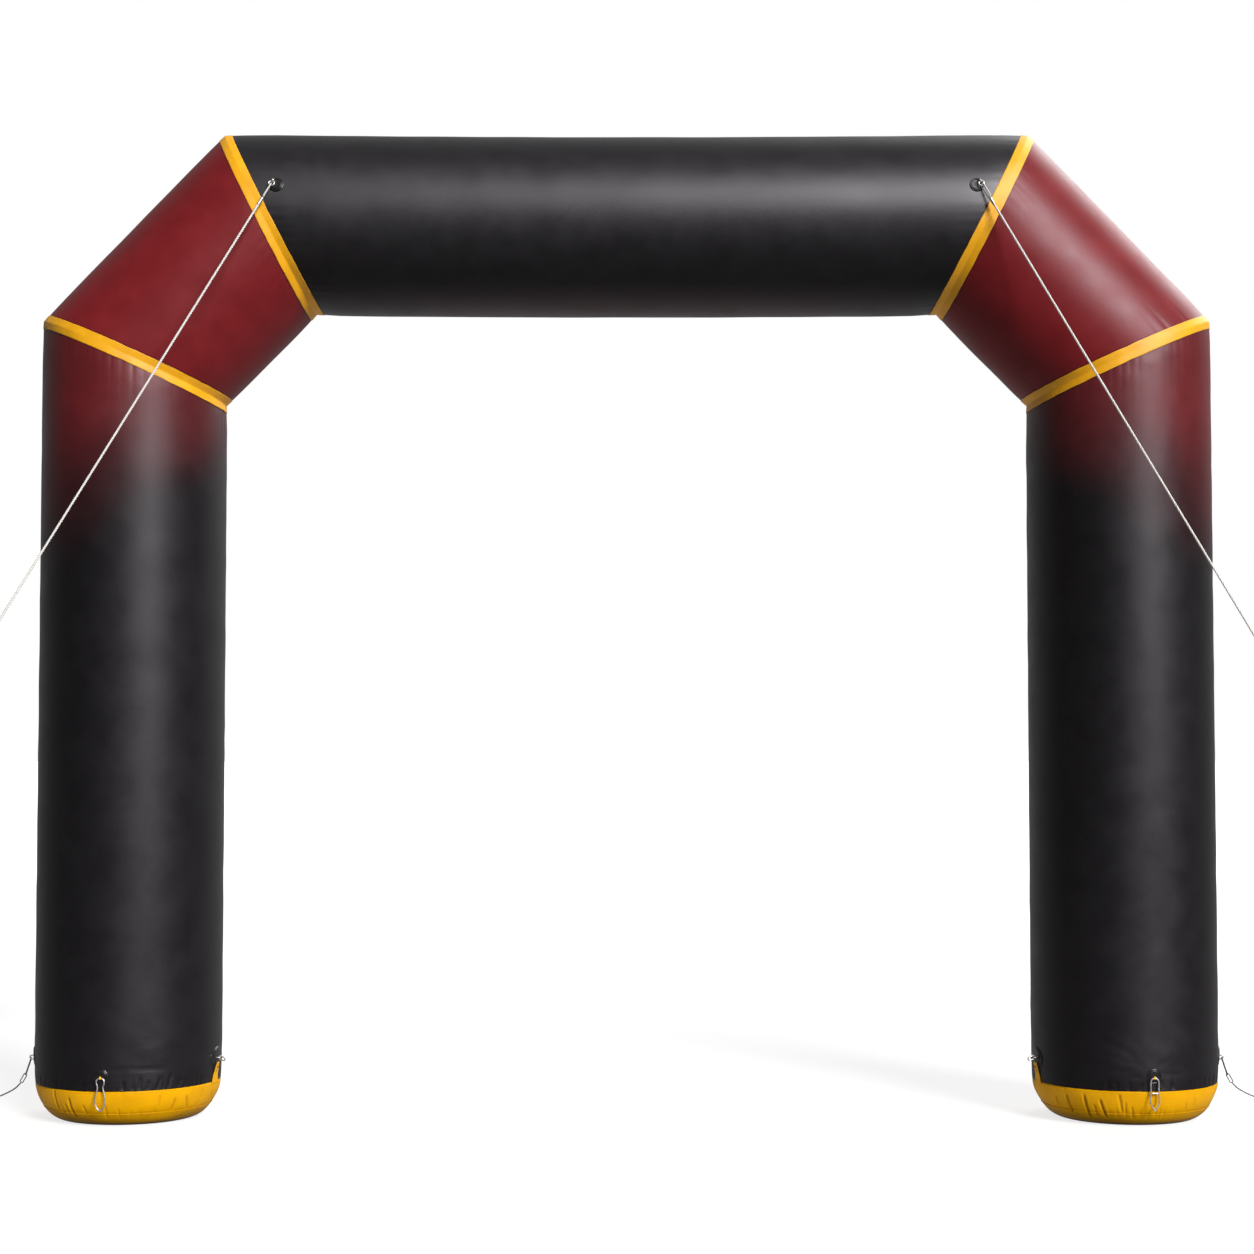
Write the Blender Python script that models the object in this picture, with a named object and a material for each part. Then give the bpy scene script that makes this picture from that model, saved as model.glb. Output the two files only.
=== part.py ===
"""Inflatable arch: five air-filled tube sections, foot cuffs, seam bands, patches, hooks, guy ropes.

The arch stands on the ground plane. X runs along the arch, Y away from the front, Z up.
The origin is on the ground, midway between the two legs. Sizes are in metres.
"""
import bpy
import bmesh
from math import cos, sin, pi, radians, exp
from mathutils import Vector

# Arch
LEG_X = 2.167               # leg centreline to the middle of the arch
LEG_RADIUS = 0.400
BEAM_Z = 3.903              # beam centreline above the ground
BEAM_RADIUS = 0.394
KNEE_OUTER_Z = 3.465        # the mitre between leg and corner section
KNEE_INNER_Z = 3.106
SHOULDER_OUTER_X = 1.772    # the mitre between corner section and beam
SHOULDER_INNER_X = 1.373
BEAM_SAG = 0.009
TUBE_SIDES = 40
GAP = 0.0003                # clearance between pieces that lie against each other

# Foot cuff
CUFF_HEIGHT = 0.157
CUFF_FLAT_RADIUS = 0.280    # the part of the foot that is pressed flat on the ground
CUFF_ROUNDNESS = 1.7
CUFF_ROWS = 6

# Seams and bands
SEAM_PINCH = 0.005          # how far a seam draws the inflated tube in
SEAM_REACH = 0.060          # distance over which the tube swells out again
BAND_HALF_WIDTH = 0.033
BAND_THICKNESS = 0.0024

# Patches
PATCH_POINTS = 20
PATCH_SKIN = 0.0022
PATCH_RIM = 0.0034
PATCH_GROOVE = 0.0028
PATCH_TOP = 0.0055
GUY_PATCH_RADIUS = 0.032
FRONT_PATCH_WIDTH = 0.062
FRONT_PATCH_HEIGHT = 0.062
SIDE_PATCH_WIDTH = 0.150
SIDE_PATCH_HEIGHT = 0.075
SIDE_PATCH_RISE = 0.020     # how far its raised middle lies above its own middle
SIDE_PATCH_POINTS = 28

# Places of the fittings
GUY_PATCH_X = 1.497
GUY_PATCH_TURN = 14.0       # degrees above the beam's front line
GUY_EYE_OFFSET = 0.017      # from the middle of the patch towards the leg
GUY_EYE_OUT = 0.017
FRONT_PATCH_Z = 0.220
FRONT_TURN = {"left": 5.1, "right": 6.3}    # degrees from the leg's front line outwards
SIDE_PATCH_Z = 0.268
SIDE_PATCH_TURN = 8.0       # degrees from the leg's side line towards the front
SIDE_STAPLE_TURN = 11.5
SIDE_STAPLE_Z = 0.260
STRAP_TURN = 11.25
SIDES = {"left": -1, "right": 1}
UP = Vector((0.0, 0.0, 1.0))

# Steel wire
STAPLE_WIRE = 0.0055
STAPLE_FOOT = PATCH_TOP + 2 * GAP           # the staples' feet above the tube
STAPLES = {"guy": (0.016, 0.0185), "inner": (0.024, 0.0155), "outer": (0.016, 0.0135)}  # width, reach
GUY_EYE_WIRE = 0.006
GUY_EYE_RADIUS = 0.011
GUY_STAPLE_BACK = 0.0012                    # the pulled eye lies against this side of its staple
LINK_WIRE = 0.0055
LINK_LENGTH = 0.030
LINK_WIDTH = 0.014
LINK_SLOPE = 24.0                           # degrees below level
LINK_SHIFT = 0.0036                         # link and ring hang side by side in the staple
RING_WIRE = 0.0036
RING_WIDTH = 0.015
RING_LOW_Z = 0.2183
RING_LOW_OUT = 0.0093
HOOK_WIRE = 0.0062
HOOK_TOP_Z = 0.214
HOOK_OUT = PATCH_TOP + HOOK_WIRE / 2 + 0.0005
WEBBING_HALF_WIDTH = 0.0035
WEBBING_HALF_THICKNESS = 0.001
WEBBING_PLAY = 0.0014                       # room round the hook's wire in its webbing loop

# Cords
GUY_PEG = {"left": (-3.60, -1.60, 0.0), "right": (3.53, -1.60, 0.0)}
GUY_ROPE_LENGTH = {"left": 2.20, "right": 2.24}
GUY_ROPE_DIAMETER = 0.010
GUY_LOOP_LENGTH = 0.072
GUY_LOOP_WIDTH = 0.018
GUY_LOOP_WIRE = 0.006
GUY_LOOP_TILT = {"left": 12, "right": 28}
GUY_SLEEVE_LENGTH = 0.034
GUY_SLEEVE_WALL = 0.0016
TETHER_DIAMETER = 0.006
TETHER_LOOP_WIRE = 0.0045
TETHER_LOOP_WIDTH = 0.013
TETHER_LOOP_PLAY = 0.0014
TETHER_EYE_X = 2.594                        # the top of the long eye between loop and cord
TETHER_EYE_Z = 0.189
TETHER_END_RADIUS = 0.018
TETHER_END_WIRE = 0.006

# Inner strap: height and half width of its edge, then its slot
STRAP_EDGE = ((0.150, 0.0345), (0.168, 0.0296), (0.186, 0.0248), (0.204, 0.0199), (0.222, 0.0165),
              (0.240, 0.0099))
STRAP_SLOT_Z = (0.196, 0.222)
STRAP_SLOT_HALF = 0.0045
STRAP_THICKNESS = 0.0025
STRAP_FREE_Z = 0.185                        # above this the strap leans away from the leg
STRAP_LEAN = 0.0105

# Left hook and right hook: how far below the top, half width of the wire's centreline
HOOK_SHAPE = {
    "left": ((0.0, 0.0), (0.0035, 0.0100), (0.010, 0.0158), (0.018, 0.0169), (0.027, 0.0150),
             (0.037, 0.0118), (0.047, 0.0128), (0.062, 0.0170), (0.080, 0.0204), (0.098, 0.0211),
             (0.113, 0.0190), (0.126, 0.0132), (0.1325, 0.0066), (0.1345, 0.0)),
    "right": ((0.0, 0.0), (0.0040, 0.0105), (0.012, 0.0163), (0.022, 0.0172), (0.044, 0.0172),
              (0.060, 0.0166), (0.072, 0.0178), (0.088, 0.0195), (0.104, 0.0184), (0.118, 0.0126),
              (0.129, 0.0056), (0.1345, 0.0)),
}
HOOK_BAR_DROP = 0.064
HOOK_BAR_HALF = 0.0168
HOOK_BAR_WIRE = 0.0066

# The tether's route, mirrored on the other side: distance from the middle of the arch, height
TETHER_Y = -0.084
TETHER_ROUTE = ((2.6165, 0.1490), (2.646, 0.1225), (2.700, 0.0955), (2.745, 0.0830), (2.800, 0.0680),
                (2.860, 0.0490), (2.915, 0.0290), (2.965, 0.0120), (3.010, 0.0044), (3.050, 0.0034))

arch = bpy.data.collections.new("inflatable_arch")
materials = {}


def clear_scene():
    """Remove the objects that the scene holds at the start."""
    for old in list(bpy.data.objects):
        bpy.data.objects.remove(old, do_unlink=True)
    bpy.context.scene.collection.children.link(arch)


def material(name, color, roughness, metallic=0.0):
    """One Principled material, made once and shared by the pieces of one finish."""
    if name not in materials:
        made = bpy.data.materials.new(name)
        made.use_nodes = True
        shader = made.node_tree.nodes["Principled BSDF"]
        shader.inputs["Base Color"].default_value = (*color, 1.0)
        shader.inputs["Roughness"].default_value = roughness
        shader.inputs["Metallic"].default_value = metallic
        materials[name] = made
    return materials[name]


def black_fabric():
    return material("black_coated_fabric", (0.012, 0.012, 0.014), 0.42)


def maroon_fabric():
    return material("maroon_coated_fabric", (0.19, 0.022, 0.026), 0.42)


def yellow_fabric():
    return material("yellow_coated_fabric", (0.86, 0.42, 0.012), 0.5)


def black_patch():
    return material("black_moulded_patch", (0.010, 0.010, 0.011), 0.5)


def steel():
    return material("polished_steel", (0.60, 0.58, 0.57), 0.25, 1.0)


def white_rope():
    return material("white_polyester_rope", (0.62, 0.61, 0.60), 0.7)


def wire_rope():
    return material("grey_wire_rope", (0.13, 0.12, 0.12), 0.45, 0.6)


def add_piece(name, mesh, finish):
    """Put a finished mesh in the arch's collection."""
    piece = bpy.data.objects.new(name, mesh)
    mesh.materials.append(finish)
    arch.objects.link(piece)
    mesh.shade_smooth()
    mesh.set_sharp_from_angle(angle=radians(30))
    return piece


def loft(name, rings, finish, ring_loop=False, hubs=None):
    """A closed skin over rings of equally many points.

    The end rings are capped flat, or by fans to the two hub points where they are given.
    With ring_loop the last ring joins the first instead, as on a band or a slotted strap.
    """
    cage = bmesh.new()
    rows = [[cage.verts.new(point) for point in ring] for ring in rings]
    count = len(rows[0])
    pairs = list(zip(rows, rows[1:]))
    if ring_loop:
        pairs.append((rows[-1], rows[0]))
    for low, high in pairs:
        for i in range(count):
            j = (i + 1) % count
            cage.faces.new((low[i], low[j], high[j], high[i]))
    if hubs:
        for row, hub in zip((rows[0], rows[-1]), hubs):
            middle = cage.verts.new(hub)
            for i in range(count):
                cage.faces.new((middle, row[i], row[(i + 1) % count]))
    elif not ring_loop:
        cage.faces.new(rows[0])
        cage.faces.new(rows[-1])
    bmesh.ops.recalc_face_normals(cage, faces=cage.faces)
    if cage.calc_volume(signed=True) < 0:
        bmesh.ops.reverse_faces(cage, faces=cage.faces)
    mesh = bpy.data.meshes.new(name)
    cage.to_mesh(mesh)
    cage.free()
    return add_piece(name, mesh, finish)


def wire(name, points, diameter, finish, closed=False, resolution=1):
    """A round wire or cord along a route of points."""
    curve = bpy.data.curves.new(name, "CURVE")
    curve.dimensions = "3D"
    curve.bevel_depth = diameter / 2
    curve.bevel_resolution = resolution
    curve.use_fill_caps = True
    spline = curve.splines.new("POLY")
    spline.points.add(len(points) - 1)
    for spot, point in zip(spline.points, points):
        spot.co = (*point, 1.0)
    spline.use_cyclic_u = closed
    spline.use_smooth = True
    curve.materials.append(finish)
    piece = bpy.data.objects.new(name, curve)
    arch.objects.link(piece)
    return piece


def smooth_route(points, count, closed=False):
    """Equally spaced points on a smooth curve through a route's own points."""
    route = [Vector(point) for point in points]
    size = len(route)
    spans = size if closed else size - 1
    fine = []
    steps = 24
    for k in range(spans):
        if closed:
            before, start, end, after = (route[(k + n) % size] for n in (-1, 0, 1, 2))
        else:
            start, end = route[k], route[k + 1]
            before = route[k - 1] if k else start * 2 - end
            after = route[k + 2] if k + 2 < size else end * 2 - start
        for step in range(steps):
            t = step / steps
            fine.append(0.5 * (2 * start + (end - before) * t
                               + (2 * before - 5 * start + 4 * end - after) * t ** 2
                               + (3 * start - before - 3 * end + after) * t ** 3))
    fine.append(route[0].copy() if closed else route[-1].copy())
    return even_points(fine, count, closed)


def even_points(line, count, closed=False):
    """Equally spaced points along a line of vectors; a closed line ends where it starts."""
    lengths = [0.0]
    for one, two in zip(line, line[1:]):
        lengths.append(lengths[-1] + (two - one).length)
    made = []
    spot = 0
    shares = count if closed else count - 1
    for n in range(count):
        target = lengths[-1] * n / shares
        while spot < len(lengths) - 2 and lengths[spot + 1] < target:
            spot += 1
        span = lengths[spot + 1] - lengths[spot]
        made.append(line[spot].lerp(line[spot + 1], (target - lengths[spot]) / span))
    return made


class Seam:
    """The flat joint between two tube sections: an ellipse in the mitre plane."""

    def __init__(self, outer, inner, radius):
        self.outer = Vector((outer[0], 0.0, outer[1]))
        self.inner = Vector((inner[0], 0.0, inner[1]))
        self.centre = (self.outer + self.inner) / 2
        self.half = (self.outer - self.inner) / 2
        self.radius = radius

    def ring(self, grow=0.0):
        """The seam's outline, grown outwards all round."""
        wide = self.half * (1 + grow / LEG_RADIUS)
        deep = Vector((0.0, self.radius + grow, 0.0))
        turns = [2 * pi * i / TUBE_SIDES for i in range(TUBE_SIDES)]
        return [self.centre + wide * cos(turn) + deep * sin(turn) for turn in turns]


def seams_of(side):
    """Ground, knee and shoulder seam of one side of the arch."""
    ground = Seam((side * (LEG_X + LEG_RADIUS), CUFF_HEIGHT),
                  (side * (LEG_X - LEG_RADIUS), CUFF_HEIGHT), LEG_RADIUS)
    knee = Seam((side * (LEG_X + LEG_RADIUS), KNEE_OUTER_Z),
                (side * (LEG_X - LEG_RADIUS), KNEE_INNER_Z), LEG_RADIUS)
    shoulder = Seam((side * SHOULDER_OUTER_X, BEAM_Z + BEAM_RADIUS),
                    (side * SHOULDER_INNER_X, BEAM_Z - BEAM_RADIUS), BEAM_RADIUS)
    return ground, knee, shoulder


def pinch(distance):
    """How far the tube is drawn in at a distance from a seam."""
    return -SEAM_PINCH * exp(-distance / SEAM_REACH)


def section_ring(near, far, distance, grow=0.0):
    """The tube's outline at a distance from one seam, measured along its surface."""
    start = near.ring(pinch(distance) + grow)
    end = far.ring(pinch(distance) + grow)
    return [a + (b - a).normalized() * distance for a, b in zip(start, end)]


def tube_rings(near, far, distances, middles=()):
    """Rings from one seam to the other, close together where the tube swells."""
    rings = [section_ring(near, far, distance) for distance in distances]
    for share in middles:
        one, two = near.ring(), far.ring()
        rings.append([a.lerp(b, share) for a, b in zip(one, two)])
    rings += [section_ring(far, near, distance) for distance in reversed(distances)]
    return rings


def tube_section(name, near, far, finish, middles=()):
    """One filled tube section between two seams, a hair short of each."""
    distances = (GAP / 2 + GAP / 4, BAND_HALF_WIDTH, 0.085, 0.180)
    return loft(name, tube_rings(near, far, distances, middles), finish)


def beam(left, right):
    """The beam, which hangs a little in the middle."""
    rings = tube_rings(left, right, (GAP, BAND_HALF_WIDTH, 0.085, 0.180), (0.2, 0.35, 0.5, 0.65, 0.8))
    for ring in rings[1:-1]:
        middle = sum(point.x for point in ring) / len(ring)
        for point in ring:
            point.z -= beam_sag(middle)
    return loft("beam_tube", rings, black_fabric())


def beam_sag(x):
    """How far the beam hangs below its ends at a place along it."""
    reach = (SHOULDER_OUTER_X + SHOULDER_INNER_X) / 2 - BAND_HALF_WIDTH
    return BEAM_SAG * max(0.0, 1 - (x / reach) ** 2)


def seam_band(name, near, middle, far):
    """A strip wrapped over a seam, folded along it."""
    low, high = GAP, GAP + BAND_THICKNESS
    width = BAND_HALF_WIDTH
    rings = [section_ring(middle, near, width, low), middle.ring(pinch(0) + low),
             section_ring(middle, far, width, low), section_ring(middle, far, width, high),
             middle.ring(pinch(0) + high), section_ring(middle, near, width, high)]
    return loft(name, rings, yellow_fabric(), ring_loop=True)


def foot_cuff(name, side):
    """The rounded base of a leg, pressed flat where it stands."""
    rings = []
    for row in range(CUFF_ROWS + 1):
        turn = pi / 2 * row / CUFF_ROWS
        spread = sin(turn) ** (2 / CUFF_ROUNDNESS)
        radius = CUFF_FLAT_RADIUS + (LEG_RADIUS - SEAM_PINCH - CUFF_FLAT_RADIUS) * spread
        height = (CUFF_HEIGHT - GAP) * (1 - max(0.0, cos(turn)) ** (2 / CUFF_ROUNDNESS))
        turns = [2 * pi * i / TUBE_SIDES for i in range(TUBE_SIDES)]
        rings.append([(side * (LEG_X + radius * cos(a)), radius * sin(a), height) for a in turns])
    return loft(name, rings, yellow_fabric())


class LegSeat:
    """A place on a leg's surface: u runs round the leg, v up, w out of the surface."""

    def __init__(self, side, angle, height, turn=1):
        self.centre = Vector((side * LEG_X, 0.0, 0.0))
        self.angle = radians(angle)
        self.height = height
        self.turn = turn

    def wrap(self, u, v, w):
        turn = self.angle + self.turn * u / LEG_RADIUS
        reach = LEG_RADIUS + w + pinch(abs(self.height + v - CUFF_HEIGHT))
        return self.centre + Vector((reach * cos(turn), reach * sin(turn), self.height + v))

    def at(self, u, v, w):
        out = Vector((cos(self.angle), sin(self.angle), 0.0))
        around = Vector((-out.y, out.x, 0.0)) * self.turn
        reach = LEG_RADIUS + w + pinch(abs(self.height - CUFF_HEIGHT))
        foot = self.centre + out * reach + around * u
        return foot + Vector((0.0, 0.0, self.height + v))


class BeamSeat:
    """A place on the beam's front: u runs along the beam, v up round it, w out of it."""

    def __init__(self, x, angle):
        self.centre = Vector((x, 0.0, BEAM_Z - beam_sag(x)))
        self.angle = radians(angle)
        middle = (SHOULDER_OUTER_X + SHOULDER_INNER_X) / 2
        lean = (SHOULDER_OUTER_X - SHOULDER_INNER_X) / 2
        self.radius = BEAM_RADIUS + pinch(middle + lean * sin(self.angle) - abs(x))

    def wrap(self, u, v, w):
        turn = self.angle + v / BEAM_RADIUS
        reach = self.radius + w
        return self.centre + Vector((u, -reach * cos(turn), reach * sin(turn)))

    def at(self, u, v, w):
        out = Vector((0.0, -cos(self.angle), sin(self.angle)))
        up = Vector((0.0, sin(self.angle), cos(self.angle)))
        return self.centre + out * (self.radius + w) + up * v + Vector((u, 0.0, 0.0))


def round_outline(radius):
    """A circle of patch points."""
    turns = [2 * pi * i / PATCH_POINTS for i in range(PATCH_POINTS)]
    return [(radius * cos(turn), radius * sin(turn)) for turn in turns]


def arch_outline(width, height, count):
    """Points round a tab with an arched top and rounded lower corners."""
    half = width / 2
    rise = min(half, height * 0.62)
    corner = min(half, height) * 0.3
    edge, floor = half - corner, corner - height / 2
    line = []
    for i in range(25):
        turn = pi * i / 24
        line.append(Vector((half * cos(turn), height / 2 - rise + rise * sin(turn))))
    for middle, first in ((-edge, pi), (edge, 1.5 * pi)):
        for i in range(7):
            turn = first + pi / 2 * i / 6
            line.append(Vector((middle + corner * cos(turn), floor + corner * sin(turn))))
    line.append(line[0].copy())
    return [(point.x, point.y) for point in even_points(line, count, closed=True)]


def pad(name, seat, outline, rise=0.0, back=(0.5,), crown=()):
    """A moulded patch with a raised rim and middle; rise moves the middle up.

    The shares in back and crown add rings that keep a wide patch on the tube's curve.
    """
    steps = [(share, GAP) for share in back]
    steps += [(1.0, GAP), (1.0, PATCH_SKIN), (0.88, PATCH_RIM), (0.79, PATCH_GROOVE), (0.70, PATCH_TOP)]
    steps += [(share, PATCH_TOP) for share in crown]
    rings = []
    for share, height in steps:
        lift = rise * (1 - share)
        rings.append([seat.wrap(u * share, v * share + lift, height) for u, v in outline])
    hubs = seat.wrap(0, rise, GAP), seat.wrap(0, rise, PATCH_TOP)
    return loft(name, rings, black_patch(), hubs=hubs)


def staple(name, foot, along, out, kind):
    """A half loop of wire standing on a patch, round the line through its foot along out."""
    width, reach = STAPLES[kind]
    points = []
    for i in range(11):
        turn = pi * i / 10
        across = (1 if cos(turn) > 0 else -1) * abs(cos(turn)) ** 0.6
        points.append(foot + along * (width / 2 * across) + out * (reach * sin(turn) ** 0.8))
    return wire(name, points, STAPLE_WIRE, steel())


def link(name, centre, along, across, length, width, diameter, finish, points=16):
    """A closed oval of wire; length and width are those of its centreline."""
    radius = width / 2
    straight = max(0.0, length / 2 - radius)
    route = []
    for i in range(points):
        turn = 2 * pi * (i + 0.5) / points
        shift = straight if cos(turn) > 0 else -straight
        route.append(centre + along * (shift + radius * cos(turn)) + across * (radius * sin(turn)))
    return wire(name, route, diameter, finish, closed=True)


def sleeve(name, start, along, length, inner, outer, finish):
    """A crimped sleeve: a short thick-walled pipe."""
    first = along.orthogonal().normalized()
    second = along.cross(first)
    rings = []
    for radius, shift in ((inner, 0.0), (outer, 0.0), (outer, length), (inner, length)):
        turns = [2 * pi * i / 12 for i in range(12)]
        rings.append([start + along * shift + (first * cos(t) + second * sin(t)) * radius for t in turns])
    return loft(name, rings, finish, ring_loop=True)


def guy_fittings(word):
    """Patch, staple, eye, loop, sleeve, rope and end loop of one guy rope."""
    side = SIDES[word]
    seat = BeamSeat(side * GUY_PATCH_X, GUY_PATCH_TURN)
    pad("guy_patch_" + word, seat, round_outline(GUY_PATCH_RADIUS))
    out = (seat.at(0, 0, 1) - seat.at(0, 0, 0)).normalized()
    eye = seat.at(side * GUY_EYE_OFFSET, 0.0, GUY_EYE_OUT)
    pull = (Vector(GUY_PEG[word]) - eye).normalized()
    across = out.cross(pull).normalized()
    flat_pull = across.cross(out)
    link("guy_eye_" + word, eye, flat_pull, across, 2 * GUY_EYE_RADIUS, 2 * GUY_EYE_RADIUS,
         GUY_EYE_WIRE, steel())
    foot = eye - flat_pull * (GUY_EYE_RADIUS + GUY_STAPLE_BACK) + out * (STAPLE_FOOT - GUY_EYE_OUT)
    staple("guy_staple_" + word, foot, flat_pull, out, "guy")
    tilt = radians(GUY_LOOP_TILT[word])
    loop_across = (out * cos(tilt) + across * sin(tilt)).normalized()
    clear = GUY_EYE_WIRE / 2 + GUY_LOOP_WIRE / 2 + 2 * GAP
    loop_start = eye + pull * (GUY_EYE_RADIUS - clear)
    link("guy_loop_" + word, loop_start + pull * (GUY_LOOP_LENGTH / 2), pull, loop_across,
         GUY_LOOP_LENGTH, GUY_LOOP_WIDTH, GUY_LOOP_WIRE, white_rope(), points=20)
    start = loop_start + pull * (GUY_LOOP_LENGTH + GUY_LOOP_WIRE / 2 + GAP)
    length = GUY_ROPE_LENGTH[word]
    steps = 23
    route = [start + pull * (length * step / steps) for step in range(steps + 1)]
    wire("guy_rope_" + word, route, GUY_ROPE_DIAMETER, white_rope(), resolution=2)
    inner = GUY_ROPE_DIAMETER / 2 + 2 * GAP
    sleeve("guy_sleeve_" + word, start + pull * 0.001, pull, GUY_SLEEVE_LENGTH, inner,
           inner + GUY_SLEEVE_WALL, steel())
    end = start + pull * (length + GUY_LOOP_WIRE / 2 + GAP + GUY_LOOP_LENGTH / 2)
    link("guy_end_" + word, end, pull, loop_across, GUY_LOOP_LENGTH, GUY_LOOP_WIDTH,
         GUY_LOOP_WIRE, white_rope(), points=20)


def webbing_loop(name, seat, height):
    """A small flat loop that leaves a patch below the hook's wire and returns above it."""
    half_width, half_thick = WEBBING_HALF_WIDTH, WEBBING_HALF_THICKNESS
    half = HOOK_WIRE / 2 + half_thick + WEBBING_PLAY
    reach = HOOK_OUT + half - STAPLE_FOOT
    steps = 8
    rings = []
    for step in range(steps + 1):
        turn = pi * step / steps - pi / 2
        rise = abs(sin(turn)) ** 0.5 * (1 if turn > 0 else -1)
        ring = []
        for u, grow in ((-half_width, -half_thick), (half_width, -half_thick),
                        (half_width, half_thick), (-half_width, half_thick)):
            v = height + (half + grow) * rise
            w = STAPLE_FOOT + (reach + grow) * cos(turn)
            ring.append(seat.at(u, v, w))
        rings.append(ring)
    return loft(name, rings, yellow_fabric())


def front_fittings(word):
    """Patch, webbing loop and steel hook on the front of one foot."""
    side = SIDES[word]
    seat = LegSeat(side, -90 + side * FRONT_TURN[word], FRONT_PATCH_Z)
    pad("front_patch_" + word, seat, arch_outline(FRONT_PATCH_WIDTH, FRONT_PATCH_HEIGHT, PATCH_POINTS))
    top = HOOK_TOP_Z - FRONT_PATCH_Z
    webbing_loop("front_loop_" + word, seat, top)
    rows = HOOK_SHAPE[word]
    outline = [(half, top - drop) for drop, half in rows]
    outline += [(-half, top - drop) for drop, half in reversed(rows[1:-1])]
    points = smooth_route([seat.at(u, v, HOOK_OUT) for u, v in outline], 38, closed=True)
    wire("front_hook_" + word, points, HOOK_WIRE, steel(), closed=True)
    if word == "right":
        reach = HOOK_BAR_HALF - HOOK_WIRE / 2 - GAP
        ends = [seat.at(u, top - HOOK_BAR_DROP, HOOK_OUT) for u in (-reach, reach)]
        wire("front_hook_bar_right", ends, HOOK_BAR_WIRE, steel())


def strap(name, seat):
    """A tapered yellow strap that stands up from the cuff, with a slot under its top."""
    low, high = STRAP_EDGE[0][0], STRAP_EDGE[-1][0]
    slot_low, slot_high = STRAP_SLOT_Z

    def lift(z):
        share = max(0.0, (z - STRAP_FREE_Z) / (high - STRAP_FREE_Z))
        return 2 * GAP + STRAP_LEAN * share

    outline = [(half, z) for z, half in STRAP_EDGE]
    outline += [(-half, z) for z, half in reversed(STRAP_EDGE)]
    hole = []
    for u, z in outline:
        share = (z - low) / (high - low)
        edge = STRAP_SLOT_HALF if u > 0 else -STRAP_SLOT_HALF
        hole.append((edge, slot_low + (slot_high - slot_low) * share))
    rings = []
    for points, depth in ((outline, 0.0), (outline, STRAP_THICKNESS), (hole, STRAP_THICKNESS), (hole, 0.0)):
        rings.append([seat.wrap(u, z - seat.height, lift(z) + depth) for u, z in points])
    return loft(name, rings, yellow_fabric(), ring_loop=True)


def side_patch(name, side, facing, front):
    """The wide arched patch on a leg's side."""
    seat = LegSeat(side, facing + front * SIDE_PATCH_TURN, SIDE_PATCH_Z, front)
    outline = arch_outline(SIDE_PATCH_WIDTH, SIDE_PATCH_HEIGHT, SIDE_PATCH_POINTS)
    return pad(name, seat, outline, SIDE_PATCH_RISE, (0.25, 0.5, 0.75), (0.45, 0.2))


def inner_fittings(word):
    """Patch, staple, link, ring and strap on the inner side of one foot."""
    side = SIDES[word]
    facing = 0.0 if side < 0 else 180.0
    front = -1 if side < 0 else 1
    side_patch("inner_patch_" + word, side, facing, front)
    seat = LegSeat(side, facing + front * SIDE_STAPLE_TURN, SIDE_STAPLE_Z, front)
    around = (seat.at(1, 0, 0) - seat.at(0, 0, 0)).normalized()
    out = (seat.at(0, 0, 1) - seat.at(0, 0, 0)).normalized()
    foot = seat.at(0, 0, STAPLE_FOOT)
    staple("inner_staple_" + word, foot, around, out, "inner")
    bar = foot + out * STAPLES["inner"][1]
    slope = radians(LINK_SLOPE)
    along = out * cos(slope) - UP * sin(slope)
    inset = STAPLE_WIRE / 2 + LINK_WIRE / 2 + 2 * GAP
    centre = bar + around * LINK_SHIFT + along * (LINK_LENGTH / 2 - inset)
    link("inner_link_" + word, centre, along, along.cross(around), LINK_LENGTH, LINK_WIDTH,
         LINK_WIRE, steel())
    low = seat.at(-LINK_SHIFT, RING_LOW_Z - SIDE_STAPLE_Z, RING_LOW_OUT)
    high = bar - around * LINK_SHIFT + UP * (STAPLE_WIRE / 2 + RING_WIRE / 2 + 2 * GAP)
    ring_along = (high - low).normalized()
    link("inner_ring_" + word, (low + high) / 2, ring_along, ring_along.cross(around),
         (high - low).length, RING_WIDTH, RING_WIRE, wire_rope())
    strap("inner_strap_" + word, LegSeat(side, facing + front * STRAP_TURN, SIDE_STAPLE_Z, front))


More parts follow.
